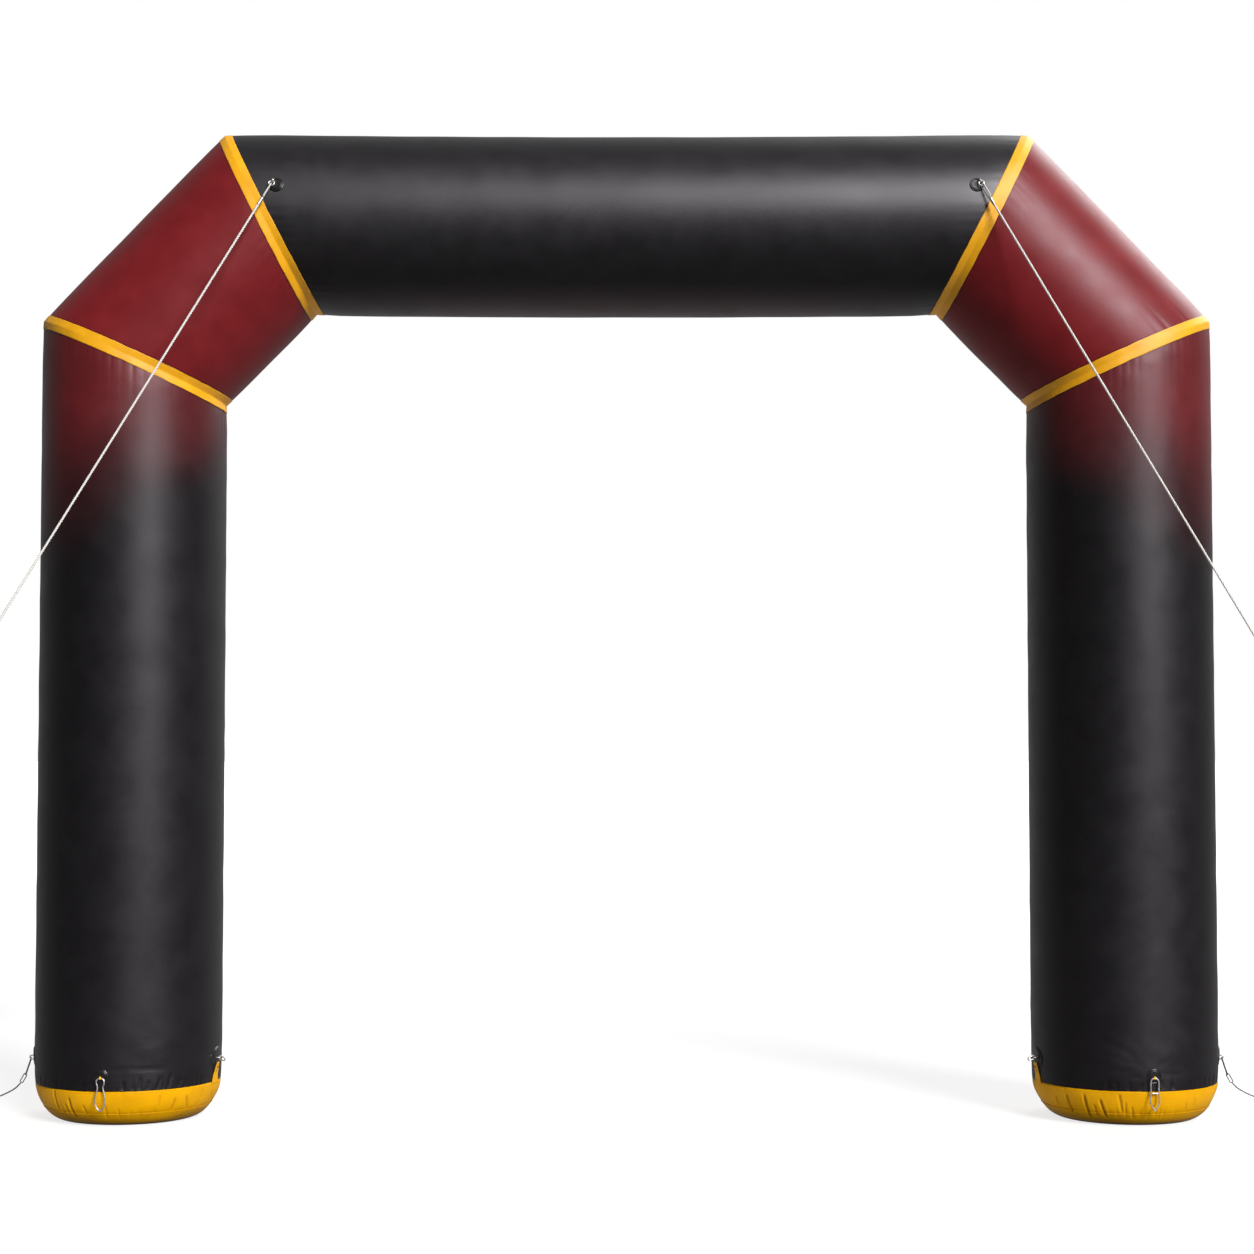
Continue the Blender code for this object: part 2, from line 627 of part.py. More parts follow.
def outer_fittings(word):
    """Patch, staple and wire tether on the outer side of one foot."""
    side = SIDES[word]
    facing = 180.0 if side < 0 else 0.0
    front = 1 if side < 0 else -1
    side_patch("outer_patch_" + word, side, facing, front)
    seat = LegSeat(side, facing + front * SIDE_STAPLE_TURN, SIDE_STAPLE_Z, front)
    out = (seat.at(0, 0, 1) - seat.at(0, 0, 0)).normalized()
    foot = seat.at(0, 0, STAPLE_FOOT)
    staple("outer_staple_" + word, foot, UP, out, "outer")
    width, reach = STAPLES["outer"]
    hold = foot + out * (reach * 0.55) - UP * (width / 2)
    loop_top = hold + UP * (STAPLE_WIRE / 2 + TETHER_LOOP_WIRE / 2 + TETHER_LOOP_PLAY)
    start = Vector((side * TETHER_ROUTE[0][0], TETHER_Y, TETHER_ROUTE[0][1]))
    eye_high = Vector((side * TETHER_EYE_X, TETHER_Y, TETHER_EYE_Z))
    eye_low = start + (eye_high - start).normalized() * (TETHER_LOOP_WIRE / 2 + 3 * GAP)
    along = (eye_high - loop_top).normalized()
    loop_end = eye_high + along * (TETHER_LOOP_WIRE + 2 * GAP)
    across = along.cross(Vector((side, 0.0, 0.0))).normalized()
    link("tether_loop_" + word, (loop_top + loop_end) / 2, along, across, (loop_end - loop_top).length,
         TETHER_LOOP_WIDTH, TETHER_LOOP_WIRE, wire_rope(), points=20)
    eye_along = (eye_low - eye_high).normalized()
    eye_across = eye_along.cross(Vector((0.0, 1.0, 0.0)))
    link("tether_eye_" + word, (eye_low + eye_high) / 2, eye_along, eye_across,
         (eye_low - eye_high).length, TETHER_LOOP_WIDTH, TETHER_LOOP_WIRE, wire_rope())
    points = [(side * x, TETHER_Y, z) for x, z in TETHER_ROUTE]
    wire("tether_" + word, smooth_route(points, 30), TETHER_DIAMETER, wire_rope(), resolution=2)
    end_x = TETHER_ROUTE[-1][0] + TETHER_END_RADIUS + TETHER_END_WIRE / 2 + GAP
    centre = Vector((side * end_x, TETHER_Y, TETHER_END_WIRE / 2 + GAP))
    link("tether_end_" + word, centre, Vector((1, 0, 0)), Vector((0, 1, 0)), 2 * TETHER_END_RADIUS,
         2 * TETHER_END_RADIUS, TETHER_END_WIRE, steel())


def build():
    """Make every piece of the arch."""
    clear_scene()
    left = seams_of(SIDES["left"])
    right = seams_of(SIDES["right"])
    beam(left[2], right[2])
    for word, (ground, knee, shoulder) in (("left", left), ("right", right)):
        foot_cuff("foot_cuff_" + word, SIDES[word])
        tube_section("leg_tube_" + word, ground, knee, black_fabric(), (0.3, 0.6))
        tube_section("corner_tube_" + word, knee, shoulder, maroon_fabric())
        seam_band("knee_band_" + word, ground, knee, shoulder)
        beam_end = right[2] if word == "left" else left[2]
        seam_band("shoulder_band_" + word, knee, shoulder, beam_end)
        guy_fittings(word)
        front_fittings(word)
        inner_fittings(word)
        outer_fittings(word)


build()
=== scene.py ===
"""The looks of the inflatable arch: coated-fabric skins, seam tapes, stitches, patches, steel and ropes.

X runs along the arch, Y away from the front, Z up, all in metres, with the origin on the ground midway
between the legs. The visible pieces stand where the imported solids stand.
"""
from math import cos, exp, pi, radians, sin

import bmesh
import bpy
import numpy as np
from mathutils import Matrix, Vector


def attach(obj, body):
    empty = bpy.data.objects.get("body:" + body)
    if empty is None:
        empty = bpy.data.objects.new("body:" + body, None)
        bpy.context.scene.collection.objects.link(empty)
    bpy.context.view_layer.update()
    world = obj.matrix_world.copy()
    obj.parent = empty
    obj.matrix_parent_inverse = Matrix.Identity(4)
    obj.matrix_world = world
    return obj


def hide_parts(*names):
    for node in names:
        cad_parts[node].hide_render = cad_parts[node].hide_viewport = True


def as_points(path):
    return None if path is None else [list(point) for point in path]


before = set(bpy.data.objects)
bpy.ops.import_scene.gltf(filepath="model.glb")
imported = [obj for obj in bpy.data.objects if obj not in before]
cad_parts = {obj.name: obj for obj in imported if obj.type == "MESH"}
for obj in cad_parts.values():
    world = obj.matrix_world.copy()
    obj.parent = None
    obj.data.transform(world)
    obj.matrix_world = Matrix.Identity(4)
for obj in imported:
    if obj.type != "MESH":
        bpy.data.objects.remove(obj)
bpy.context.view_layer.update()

# Camera, for a square picture of this many pixels
PICTURE_PIXELS = 1254
FOCAL_PIXELS = 2400
CAMERA_SPOT = (0.002, -10.532, 1.617)
CAMERA_PITCH = 2.76
SENSOR_MM = 36.0

# Arch
SIDES = {"left": -1, "right": 1}
UP = Vector((0.0, 0.0, 1.0))
GAP = 0.0003
LEG_X = 2.167
LEG_RADIUS = 0.400
BEAM_Z = 3.903
BEAM_RADIUS = 0.394
KNEE_OUTER_Z = 3.465
KNEE_INNER_Z = 3.106
SHOULDER_OUTER_X = 1.772
SHOULDER_INNER_X = 1.373
BEAM_SAG = 0.009
TAPE_HOLD = 0.070
SEAM_PINCH = 0.005
SEAM_REACH = 0.060
CUFF_HEIGHT = 0.157
CUFF_FLAT_RADIUS = 0.280
CUFF_ROUNDNESS = 1.7
BASE_SEAM_Z = 0.058
SEAM_LAP = 0.006
HEM_HEIGHT = 0.011
# How strongly the tucks' grooves are darkened with painted shade
TUCK_PAINTED_SHADE = 0.40
SKIN_THICKNESS = 0.0008
SEAM_ALLOWANCE = 0.03
# Painted shadow on the skins along both edges of each tape: its strength and width
TAPE_EDGE_PAINTED_SHADOW = 0.85
SEAM_SHADE_WIDTH = 0.0022
BASE_PANEL_FLAT = (0.80, 0.80)
BASE_PANEL_AREA = 0.50

# Depths of the skins' relief: gathers at the feet, knees and other tapes, slack and fine creases
FOOT_GATHER = 0.0024
KNEE_GATHER = 0.0012
TAPE_GATHER = 0.0010
LEG_SLACK = 0.00045
CORNER_SLACK = 0.00040
BEAM_SLACK = 0.00034
FINE_SLACK = 0.00020
GATHER_REACH = {"foot": 0.040, "knee": 0.11, "corner_knee": 0.09, "corner_shoulder": 0.10, "beam": 0.09}
SEAM_CLEAR = 0.006
CUFF_TOP_GATHER = 0.0012
BASE_SEAM_GATHER = 0.0018
BASE_SLACK = 0.0008
FULL_FOLD = 0.008

# Printed fade: height where the maroon ends and where it is full, each with how much lower it is outside
FADE_END = (2.52, 0.22)
FADE_FULL = (3.22, 0.12)
FADE_UNEVEN = 0.04
# Maroon cast of the beam's underside: depth below the middle, blend, share and reach along the beam
UNDERSIDE = (0.30, 0.12, 0.35, 1.1)

# The yellow base. Wall: its top's roll and its lap's roll, as depth and reach, and the painted shadow just
# above the lap, as strength and reach.
# Base panel: its lip and the lip's edge, the hem's shade, rows below the lip, and rings on the ground.
CUFF_ROLL = (0.0028, 0.0034)
LAP_ROLL = (0.0020, 0.0045)
LAP_PAINTED_SHADOW = (0.16, 0.0035)
LIP_SWELL = (0.0014, 0.006)
LIP_EDGE = (0.0024, 0.0004)
HEM_SHADE = 0.96
PANEL_SHADE = 0.2
LIP_ROWS = (0.0002, 0.0008, 0.0020)
PANEL_RINGS = (0.25, 0.18, 0.10, 0.03)
# Heights of the base's stitch rows, and how far each stands out
BASE_STITCHES = ((CUFF_HEIGHT - 0.010, 0.0004), (BASE_SEAM_Z - 0.0035, 0.0014))

# Stitches: 5 mm long every 7.5 mm and 1.1 mm thick, about twice the real ones, so that they show
STITCH_PITCH = 0.0075
STITCH_LENGTH = 0.0052
STITCH_WIDTH = 0.0011
# Threads of the fabric and ribs of the tape: real ones lie about 1 mm apart, drawn coarser so that they show
THREAD_PITCH = 0.0024
TAPE_RIB_PITCH = 0.0026
TAPE_WEFT_PITCH = 0.0018
# Noise, as patches for each metre and its detail: mottle about 110 mm wide, coating grain about 9 mm,
# stains on tape 70 mm, spark grain about 1 mm, wear 22 mm, scratches 6 mm, fibres and thread plies about 1 mm
COATING_MOTTLE = (9.0, 5.0)
COATING_GRAIN = (110.0, 3.0)
TAPE_MOTTLE = (14.0, 5.0)
SPARK_GRAIN = (900.0, 2.0)
RUBBER_WEAR = (45.0, 4.0)
STEEL_SCRATCHES = (160.0, 6.0)
ROPE_FIBRES = (1400.0, 2.0)
THREAD_PLIES = (700.0, 2.0)

# Points round each skin, and the longest step between its rows
SKIN_STEPS = {"leg": (360, 0.070), "corner": (320, 0.034), "beam": (264, 0.048), "cuff": (640, 0.0043),
              "base": (512, 0.0044), "tape": (256, 0.0)}
# Distances of a skin's rows from a seam
SEAM_ROWS = (0.0, 0.003, 0.008, 0.015, 0.023, 0.032, 0.040, 0.048, 0.057, 0.067, 0.078, 0.090, 0.103, 0.118)
FOOT_ROWS = (0.0, 0.003, 0.008, 0.014, 0.020, 0.027, 0.034, 0.042, 0.050, 0.059, 0.069, 0.079,
             0.089, 0.100, 0.111, 0.123, 0.136, 0.150, 0.165, 0.181, 0.198, 0.216, 0.235, 0.256, 0.280, 0.310)

# Tapes over the seams
TAPE_HALF_WIDTH = 0.033
TAPE_THICKNESS = 0.0020
# Tape from one edge to the middle: share of the half width, share of the thickness
TAPE_PROFILE = ((1.0, 0.15), (1.0, 0.55), (0.975, 0.85), (0.93, 0.97), (0.80, 1.0), (0.5, 1.0), (0.15, 1.0),
                (0.0, 1.0))
TAPE_UNEVEN = (0.00025, 0.0004)
# Painted shade on the tape's edges where they meet the skin
TAPE_SIDE_PAINTED_SHADE = 0.75
TAPE_STITCHES = 0.86

# Fittings
GUY_PATCH_X = 1.497
GUY_PATCH_TURN = 14.0
GUY_PATCH_RADIUS = 0.032
GUY_EYE_OFFSET = 0.017
GUY_EYE_OUT = 0.017
GUY_EYE_WIRE = 0.006
GUY_EYE_RADIUS = 0.011
GUY_STAPLE_BACK = 0.0012
FRONT_PATCH_Z = 0.220
FRONT_PATCH_SIZE = (0.062, 0.062)
FRONT_TURN = {"left": 5.1, "right": 6.3}
SIDE_PATCH_Z = 0.268
SIDE_PATCH_SIZE = (0.150, 0.075)
SIDE_PATCH_RISE = 0.020
SIDE_PATCH_TURN = 8.0
SIDE_STAPLE_TURN = 11.5
SIDE_STAPLE_Z = 0.260
STRAP_TURN = 11.25
PATCH_TOP = 0.0055
STAPLE_FOOT = PATCH_TOP + 2 * GAP
STAPLE_WIRE = 0.0055
STAPLES = {"guy": (0.016, 0.0185), "inner": (0.024, 0.0155), "outer": (0.016, 0.0135)}
LINK_WIRE = 0.0055
LINK_LENGTH = 0.030
LINK_WIDTH = 0.014
LINK_SLOPE = 24.0
LINK_SHIFT = 0.0036
RING_WIRE = 0.0036
RING_WIDTH = 0.015
RING_LOW_Z = 0.2183
RING_LOW_OUT = 0.0093
HOOK_WIRE = 0.0062
HOOK_TOP_Z = 0.214
HOOK_OUT = PATCH_TOP + HOOK_WIRE / 2 + 0.0005
HOOK_BAR_DROP = 0.064
HOOK_BAR_HALF = 0.0168
HOOK_BAR_WIRE = 0.0066
WEBBING_HALF_WIDTH = 0.0035
WEBBING_HALF_THICKNESS = 0.001
WEBBING_PLAY = 0.0014

# Hooks: distance below the top, half width of the wire's centreline
HOOK_SHAPE = {
    "left": ((0.0, 0.0), (0.0035, 0.0100), (0.010, 0.0158), (0.018, 0.0169), (0.027, 0.0150),
             (0.037, 0.0118), (0.047, 0.0128), (0.062, 0.0170), (0.080, 0.0204), (0.098, 0.0211),
             (0.113, 0.0190), (0.126, 0.0132), (0.1325, 0.0066), (0.1345, 0.0)),
    "right": ((0.0, 0.0), (0.0040, 0.0105), (0.012, 0.0163), (0.022, 0.0172), (0.044, 0.0172),
              (0.060, 0.0166), (0.072, 0.0178), (0.088, 0.0195), (0.104, 0.0184), (0.118, 0.0126),
              (0.129, 0.0056), (0.1345, 0.0)),
}

# Inner strap: height and half width of its edge, then its slot
STRAP_EDGE = ((0.150, 0.0345), (0.168, 0.0296), (0.186, 0.0248), (0.204, 0.0199), (0.222, 0.0165),
              (0.240, 0.0099))
STRAP_SLOT_Z = (0.196, 0.222)
STRAP_SLOT_HALF = 0.0045
STRAP_THICKNESS = 0.0025
STRAP_FREE_Z = 0.185
STRAP_LEAN = 0.0105

# Ropes
GUY_PEG = {"left": (-3.60, -1.60, 0.0), "right": (3.53, -1.60, 0.0)}
GUY_ROPE_LENGTH = {"left": 2.20, "right": 2.24}
GUY_ROPE_DIAMETER = 0.010
GUY_LOOP_LENGTH = 0.072
GUY_LOOP_WIDTH = 0.018
GUY_LOOP_WIRE = 0.006
GUY_LOOP_TILT = {"left": 12, "right": 28}
GUY_LOOP_LAY = 0.022
GUY_ROPE_LAY = 0.036
GUY_STRANDS = 3
GUY_SLEEVE_LENGTH = 0.034
GUY_SLEEVE_WALL = 0.0016
CRIMPS = (0.25, 0.5, 0.75)
TETHER_DIAMETER = 0.006
TETHER_LAY = 0.030
WIRE_STRANDS = 6
WIRE_LOOP_LAY = 0.020
SMALL_RING_LAY = 0.016
TETHER_LOOP_WIRE = 0.0045
TETHER_LOOP_WIDTH = 0.013
TETHER_LOOP_PLAY = 0.0014
TETHER_EYE_X = 2.594
TETHER_EYE_Z = 0.189
TETHER_END_RADIUS = 0.018
TETHER_END_WIRE = 0.006
TETHER_Y = -0.084
TETHER_ROUTE = ((2.6165, 0.1490), (2.646, 0.1225), (2.700, 0.0955), (2.745, 0.0830), (2.800, 0.0680),
                (2.860, 0.0490), (2.915, 0.0290), (2.965, 0.0120), (3.010, 0.0044), (3.050, 0.0034))

# Moulded patches, from the rim inwards: share of the outline, height above the fabric in millimetres
ROUND_PATCH = ((1.0, 0.3), (1.0, 1.2), (0.985, 1.9), (0.955, 2.3), (0.92, 2.5), (0.895, 3.3), (0.865, 3.9),
               (0.835, 3.4), (0.805, 2.6), (0.755, 2.5), (0.715, 3.5), (0.685, 4.9), (0.65, 5.4),
               (0.60, 5.2), (0.45, 5.1), (0.25, 5.3), (0.05, 5.4))
ARCH_PATCH = ((1.0, 0.3), (1.0, 1.1), (0.988, 1.8), (0.965, 2.2), (0.94, 2.4), (0.915, 3.2), (0.885, 3.7),
              (0.855, 3.2), (0.825, 2.6), (0.78, 2.6), (0.75, 3.6), (0.72, 5.0), (0.69, 5.5),
              (0.62, 5.4), (0.45, 5.3), (0.25, 5.4), (0.05, 5.4))

# Folds pressed into the fabric: bearing from the front and height at one end and at the other, depth, width
TUCKS = {
    "left": ((-40, 0.156, -40, 0.060, 0.0095, 0.0075), (-28, 0.126, -27, 0.030, 0.0106, 0.0078),
             (-32, 0.096, -31, 0.044, 0.0070, 0.0062), (-18, 0.094, -17, 0.058, 0.0045, 0.0064),
             (-3, 0.100, -3, 0.036, 0.0035, 0.0064), (5, 0.086, 6, 0.034, 0.0030, 0.0064),
             (31, 0.136, 31, 0.078, 0.0032, 0.0064), (42, 0.118, 41, 0.058, 0.0057, 0.0066),
             (50, 0.122, 54, 0.056, 0.0065, 0.0070), (65, 0.134, 65, 0.094, 0.0052, 0.0064),
             (63, 0.088, 62, 0.054, 0.0047, 0.0064), (77, 0.124, 80, 0.068, 0.0068, 0.0072),
             (-62, 0.140, -61, 0.070, 0.0055, 0.0070), (-92, 0.145, -88, 0.050, 0.0075, 0.0075),
             (-124, 0.140, -118, 0.040, 0.0090, 0.0078), (-158, 0.125, -152, 0.035, 0.0070, 0.0072),
             (118, 0.135, 124, 0.040, 0.0085, 0.0078), (157, 0.140, 161, 0.045, 0.0075, 0.0075)),
    "right": ((-59, 0.118, -60, 0.066, 0.0055, 0.0064), (-50, 0.130, -49, 0.042, 0.0095, 0.0076),
              (-37, 0.138, -36, 0.026, 0.0110, 0.0080), (-27, 0.120, -24, 0.036, 0.0095, 0.0078),
              (-31, 0.096, -30, 0.040, 0.0052, 0.0062), (-15, 0.146, -13, 0.060, 0.0052, 0.0078),
              (-11, 0.110, -11, 0.062, 0.0042, 0.0062), (-7, 0.090, -6, 0.036, 0.0040, 0.0064),
              (12, 0.086, 12, 0.034, 0.0028, 0.0064), (30, 0.104, 32, 0.062, 0.0028, 0.0064),
              (37, 0.122, 38, 0.074, 0.0030, 0.0064), (66, 0.140, 67, 0.060, 0.0055, 0.0070),
              (-88, 0.145, -86, 0.050, 0.0072, 0.0075), (-118, 0.140, -112, 0.040, 0.0088, 0.0078),
              (100, 0.138, 105, 0.040, 0.0077, 0.0076), (134, 0.130, 140, 0.040, 0.0072, 0.0075),
              (168, 0.125, 171, 0.035, 0.0068, 0.0072)),
}
# Creases and pull lines round the front patches, written in the same way
PULLS = {
    "left": ((-4, 0.243, 16, 0.253, 0.0012, 0.0075), (10, 0.252, 36, 0.240, 0.0018, 0.0080),
             (26, 0.300, 44, 0.330, 0.0007, 0.0120), (14, 0.330, 34, 0.385, 0.0006, 0.0130),
             (7, 0.130, 9, 0.196, 0.0034, 0.0070), (17, 0.130, 19, 0.214, 0.0042, 0.0072),
             (23, 0.130, 24, 0.200, 0.0036, 0.0070), (28, 0.130, 31, 0.212, 0.0042, 0.0072),
             (35, 0.130, 38, 0.222, 0.0044, 0.0076), (42, 0.130, 45, 0.206, 0.0034, 0.0072),
             (-56, 0.130, -56, 0.204, 0.0032, 0.0070), (-49, 0.130, -49, 0.196, 0.0028, 0.0070),
             (-64, 0.130, -64, 0.200, 0.0030, 0.0070), (60, 0.130, 61, 0.196, 0.0026, 0.0070)),
    "right": ((-24, 0.238, -3, 0.243, 0.0015, 0.0075), (9, 0.232, 27, 0.222, 0.0012, 0.0085),
              (-28, 0.315, 0, 0.258, 0.0013, 0.0105), (-24, 0.372, -4, 0.296, 0.0013, 0.0120),
              (-21, 0.425, 0, 0.345, 0.0011, 0.0130), (-8, 0.300, 1, 0.256, 0.0008, 0.0090),
              (20, 0.300, 8, 0.258, 0.0008, 0.0090), (-10, 0.228, 0, 0.205, 0.0010, 0.0080),
              (-23, 0.130, -21, 0.206, 0.0038, 0.0072), (-17, 0.130, -16, 0.198, 0.0032, 0.0070),
              (-10, 0.130, -8, 0.190, 0.0032, 0.0072), (-3, 0.130, -1, 0.194, 0.0036, 0.0072),
              (14, 0.130, 11, 0.202, 0.0032, 0.0080), (20, 0.130, 18, 0.192, 0.0028, 0.0072),
              (33, 0.130, 33, 0.198, 0.0028, 0.0070), (39, 0.130, 39, 0.206, 0.0034, 0.0070),
              (45, 0.130, 45, 0.212, 0.0036, 0.0070), (51, 0.130, 51, 0.204, 0.0036, 0.0070),
              (58, 0.130, 58, 0.210, 0.0034, 0.0070), (65, 0.130, 65, 0.200, 0.0030, 0.0070)),
}

# Soft distant lights: bearing from the front towards the right, height and width in degrees, strength
LIGHTS = {"key_light": (31, 31, 24, 5.0), "back_light": (142, 36, 40, 1.5)}
# The surround's brightness in front of the arch and behind it
SURROUND_LIGHT = (0.06, 0.34)
# The floor's own glow near the arch and far off, and how far each is
FLOOR_TONE = 0.25
FLOOR_GLOW = (0.76, 1.0)
FLOOR_REACH = (4.0, 22.0)
FLOOR_SIZE = 400.0
FLOOR_DROP = 0.0006
# The rings of floor round the feet that throw light back
LIT_FLOOR = (0.43, 2.0)


def add_camera():
    """The camera at the photograph's angle."""
    data = bpy.data.cameras.new("front_camera")
    data.sensor_width = SENSOR_MM
    data.lens = SENSOR_MM * FOCAL_PIXELS / PICTURE_PIXELS
    camera = bpy.data.objects.new("front_camera", data)
    camera.location = CAMERA_SPOT
    camera.rotation_euler = (radians(90 + CAMERA_PITCH), 0.0, 0.0)
    bpy.context.scene.collection.objects.link(camera)
    bpy.context.scene.camera = camera


def linear(code):
    """A linear colour, with its alpha, from an sRGB hex code."""
    parts = [int(code[i:i + 2], 16) / 255 for i in (1, 3, 5)]
    return (*(c / 12.92 if c <= 0.04045 else ((c + 0.055) / 1.055) ** 2.4 for c in parts), 1.0)


def feed(tree, node, inputs):
    """Set a node's inputs: each, by its name or number, to a value or from another node's output."""
    for name, value in inputs.items():
        if isinstance(value, bpy.types.NodeSocket):
            tree.links.new(value, node.inputs[name])
        else:
            node.inputs[name].default_value = value


def add_node(tree, kind, inputs=None, stops=(), **settings):
    """Add a node with its inputs, its settings and, on a colour ramp, the place and colour of both stops."""
    node = tree.nodes.new(kind)
    for name, value in settings.items():
        setattr(node, name, value)
    for number, (place, colour) in enumerate(stops):
        stop = node.color_ramp.elements[number]
        stop.position, stop.color = place, colour
    feed(tree, node, inputs or {})
    return node


def new_material(name, *noises):
    """An empty material, its tree and surface shader, and noises on Object coordinates: scale and detail."""
    made = bpy.data.materials.new(name)
    made.use_nodes = True
    tree = made.node_tree
    place = add_node(tree, "ShaderNodeTexCoord").outputs["Object"] if noises else None
    fields = [add_node(tree, "ShaderNodeTexNoise", {"Vector": place, "Scale": scale,
                                                    "Detail": detail}).outputs["Fac"]
              for scale, detail in noises]
    return made, tree, tree.nodes["Principled BSDF"], *fields


def wave_scale(period):
    """A wave texture's scale for one period in metres."""
    return pi / (10 * period)


# The last colour is mixed in by the 'seam' attribute as painted shade, and on the yellow also as its hem
def coated_fabric(name, tone, shade, gloss, fade_to=None, painted_shade_and_hem="#0a0a0a"):
    """PVC-coated polyester tarpaulin: knife-coated and calendered, so satin, with the threads' faint grid
    and a soft mottle that breaks up its highlights."""
    made, tree, shader, mottle, fine = new_material(name, COATING_MOTTLE, COATING_GRAIN)
    cut = add_node(tree, "ShaderNodeUVMap", uv_map="cut").outputs["UV"]
    seam = add_node(tree, "ShaderNodeAttribute", attribute_name="seam").outputs["Fac"]
    colour = add_node(tree, "ShaderNodeValToRGB", {"Fac": mottle},
                      ((0.32, linear(shade)), (0.68, linear(tone)))).outputs["Color"]
    if fade_to:
        fade = add_node(tree, "ShaderNodeAttribute", attribute_name="fade").outputs["Fac"]
        grain = add_node(tree, "ShaderNodeMath", {0: fine, 1: 0.5}, operation="SUBTRACT")
        rough_fade = add_node(tree, "ShaderNodeMath", {0: grain.outputs[0], 1: 0.10, 2: fade},
                              operation="MULTIPLY_ADD", use_clamp=True)
        dark = add_node(tree, "ShaderNodeValToRGB", {"Fac": mottle},
                        ((0.32, linear(fade_to[1])), (0.68, linear(fade_to[0])))).outputs["Color"]
        colour = add_node(tree, "ShaderNodeMix", {0: rough_fade.outputs[0], 6: dark, 7: colour},
                          data_type="RGBA").outputs[2]
    # Painted shade: the 'seam' attribute mixes in the dark colour, as painted shadows along the tape edges and
    # over the lap and painted shade in the tucks; on the yellow it also gives the hem its dark maroon
    colour = add_node(tree, "ShaderNodeMix", {0: seam, 6: colour, 7: linear(painted_shade_and_hem)},
                      data_type="RGBA").outputs[2]
    rough = add_node(tree, "ShaderNodeMapRange", {"Value": mottle, "From Min": 0.3, "From Max": 0.7,
                                                  "To Min": 0.40, "To Max": 0.47})
    warp, weft = (add_node(tree, "ShaderNodeTexWave", {"Vector": cut, "Scale": wave_scale(THREAD_PITCH)},
                           wave_type="BANDS", bands_direction=way).outputs["Fac"] for way in "XY")
    grid = add_node(tree, "ShaderNodeMath", {0: warp, 1: weft}, operation="MULTIPLY")
    bump = add_node(tree, "ShaderNodeBump", {"Height": grid.outputs[0], "Strength": 0.35, "Distance": 0.0002})
    soft = add_node(tree, "ShaderNodeBump", {"Height": fine, "Strength": 0.5, "Distance": 0.0004,
                                             "Normal": bump.outputs["Normal"]})
    feed(tree, shader, {"Base Color": colour, "Roughness": rough.outputs["Result"], "IOR": 1.53,
                        "Specular IOR Level": gloss, "Specular Tint": (1.0, 0.95, 1.0, 1.0),
                        "Normal": soft.outputs["Normal"]})
    return made


def tape_fabric(name, tone, shade):
    """Coated polyester tape, woven as a narrow ribbed band: a fine rib across it, and painted shade on its
    edges where they meet the skin.
    """
    made, tree, shader, mottle = new_material(name, TAPE_MOTTLE)
    cut = add_node(tree, "ShaderNodeUVMap", uv_map="cut").outputs["UV"]
    edge = add_node(tree, "ShaderNodeAttribute", attribute_name="seam").outputs["Fac"]
    colour = add_node(tree, "ShaderNodeValToRGB", {"Fac": mottle},
                      ((0.3, linear(shade)), (0.65, linear(tone)))).outputs["Color"]
    # Painted shade: the 'seam' attribute darkens the tape's edges where they meet the skin
    colour = add_node(tree, "ShaderNodeMix", {0: edge, 6: colour, 7: linear("#5f3c06")},
                      data_type="RGBA").outputs[2]
    ribs, weft = (add_node(tree, "ShaderNodeTexWave", {"Vector": cut, "Scale": wave_scale(pitch)},
                           wave_type="BANDS", bands_direction=way).outputs["Fac"]
                  for way, pitch in (("X", TAPE_RIB_PITCH), ("Y", TAPE_WEFT_PITCH)))
    weave = add_node(tree, "ShaderNodeMath", {0: weft, 1: 0.4, 2: ribs}, operation="MULTIPLY_ADD")
    bump = add_node(tree, "ShaderNodeBump", {"Height": weave.outputs[0], "Strength": 0.5, "Distance": 0.0003})
    feed(tree, shader, {"Base Color": colour, "Roughness": 0.46, "Normal": bump.outputs["Normal"]})
    return made


def moulded_rubber(name):
    """Injection-moulded black PVC, welded on: dull, with the mould's fine spark grain."""
    made, tree, shader, grain, wear = new_material(name, SPARK_GRAIN, RUBBER_WEAR)
    colour = add_node(tree, "ShaderNodeValToRGB", {"Fac": wear},
                      ((0.35, linear("#0e0e0f")), (0.7, linear("#1d1d1f"))))
    rough = add_node(tree, "ShaderNodeMapRange", {"Value": wear, "To Min": 0.26, "To Max": 0.40})
    bump = add_node(tree, "ShaderNodeBump", {"Height": grain, "Strength": 0.3, "Distance": 0.0001})
    feed(tree, shader, {"Base Color": colour.outputs["Color"], "Roughness": rough.outputs["Result"],
                        "Normal": bump.outputs["Normal"]})
    return made


def polished_steel(name):
    """Drawn stainless wire, tumbled bright: small scratches spread its highlights a little."""
    made, tree, shader, worn = new_material(name, STEEL_SCRATCHES)
    colour = add_node(tree, "ShaderNodeValToRGB", {"Fac": worn},
                      ((0.3, linear("#b9b5b2")), (0.7, linear("#e6e3e0"))))
    rough = add_node(tree, "ShaderNodeMapRange", {"Value": worn, "To Min": 0.24, "To Max": 0.44})
    bump = add_node(tree, "ShaderNodeBump", {"Height": worn, "Strength": 0.15, "Distance": 0.0001})
    feed(tree, shader, {"Base Color": colour.outputs["Color"], "Metallic": 0.8,
                        "Roughness": rough.outputs["Result"], "Normal": bump.outputs["Normal"]})
    return made


def galvanised_wire(name):
    """Zinc-coated wire rope: dull grey metal, with painted shade in the grooves between its strands."""
    made, tree, shader = new_material(name)
    lay = add_node(tree, "ShaderNodeAttribute", attribute_name="lay").outputs["Fac"]
    # Painted shade: darker where the 'lay' attribute is low, in the grooves between strands
    colour = add_node(tree, "ShaderNodeValToRGB", {"Fac": lay},
                      ((0.15, linear("#1f1d1e")), (0.8, linear("#837f7f"))))
    feed(tree, shader, {"Base Color": colour.outputs["Color"], "Metallic": 0.85, "Roughness": 0.42})
    return made


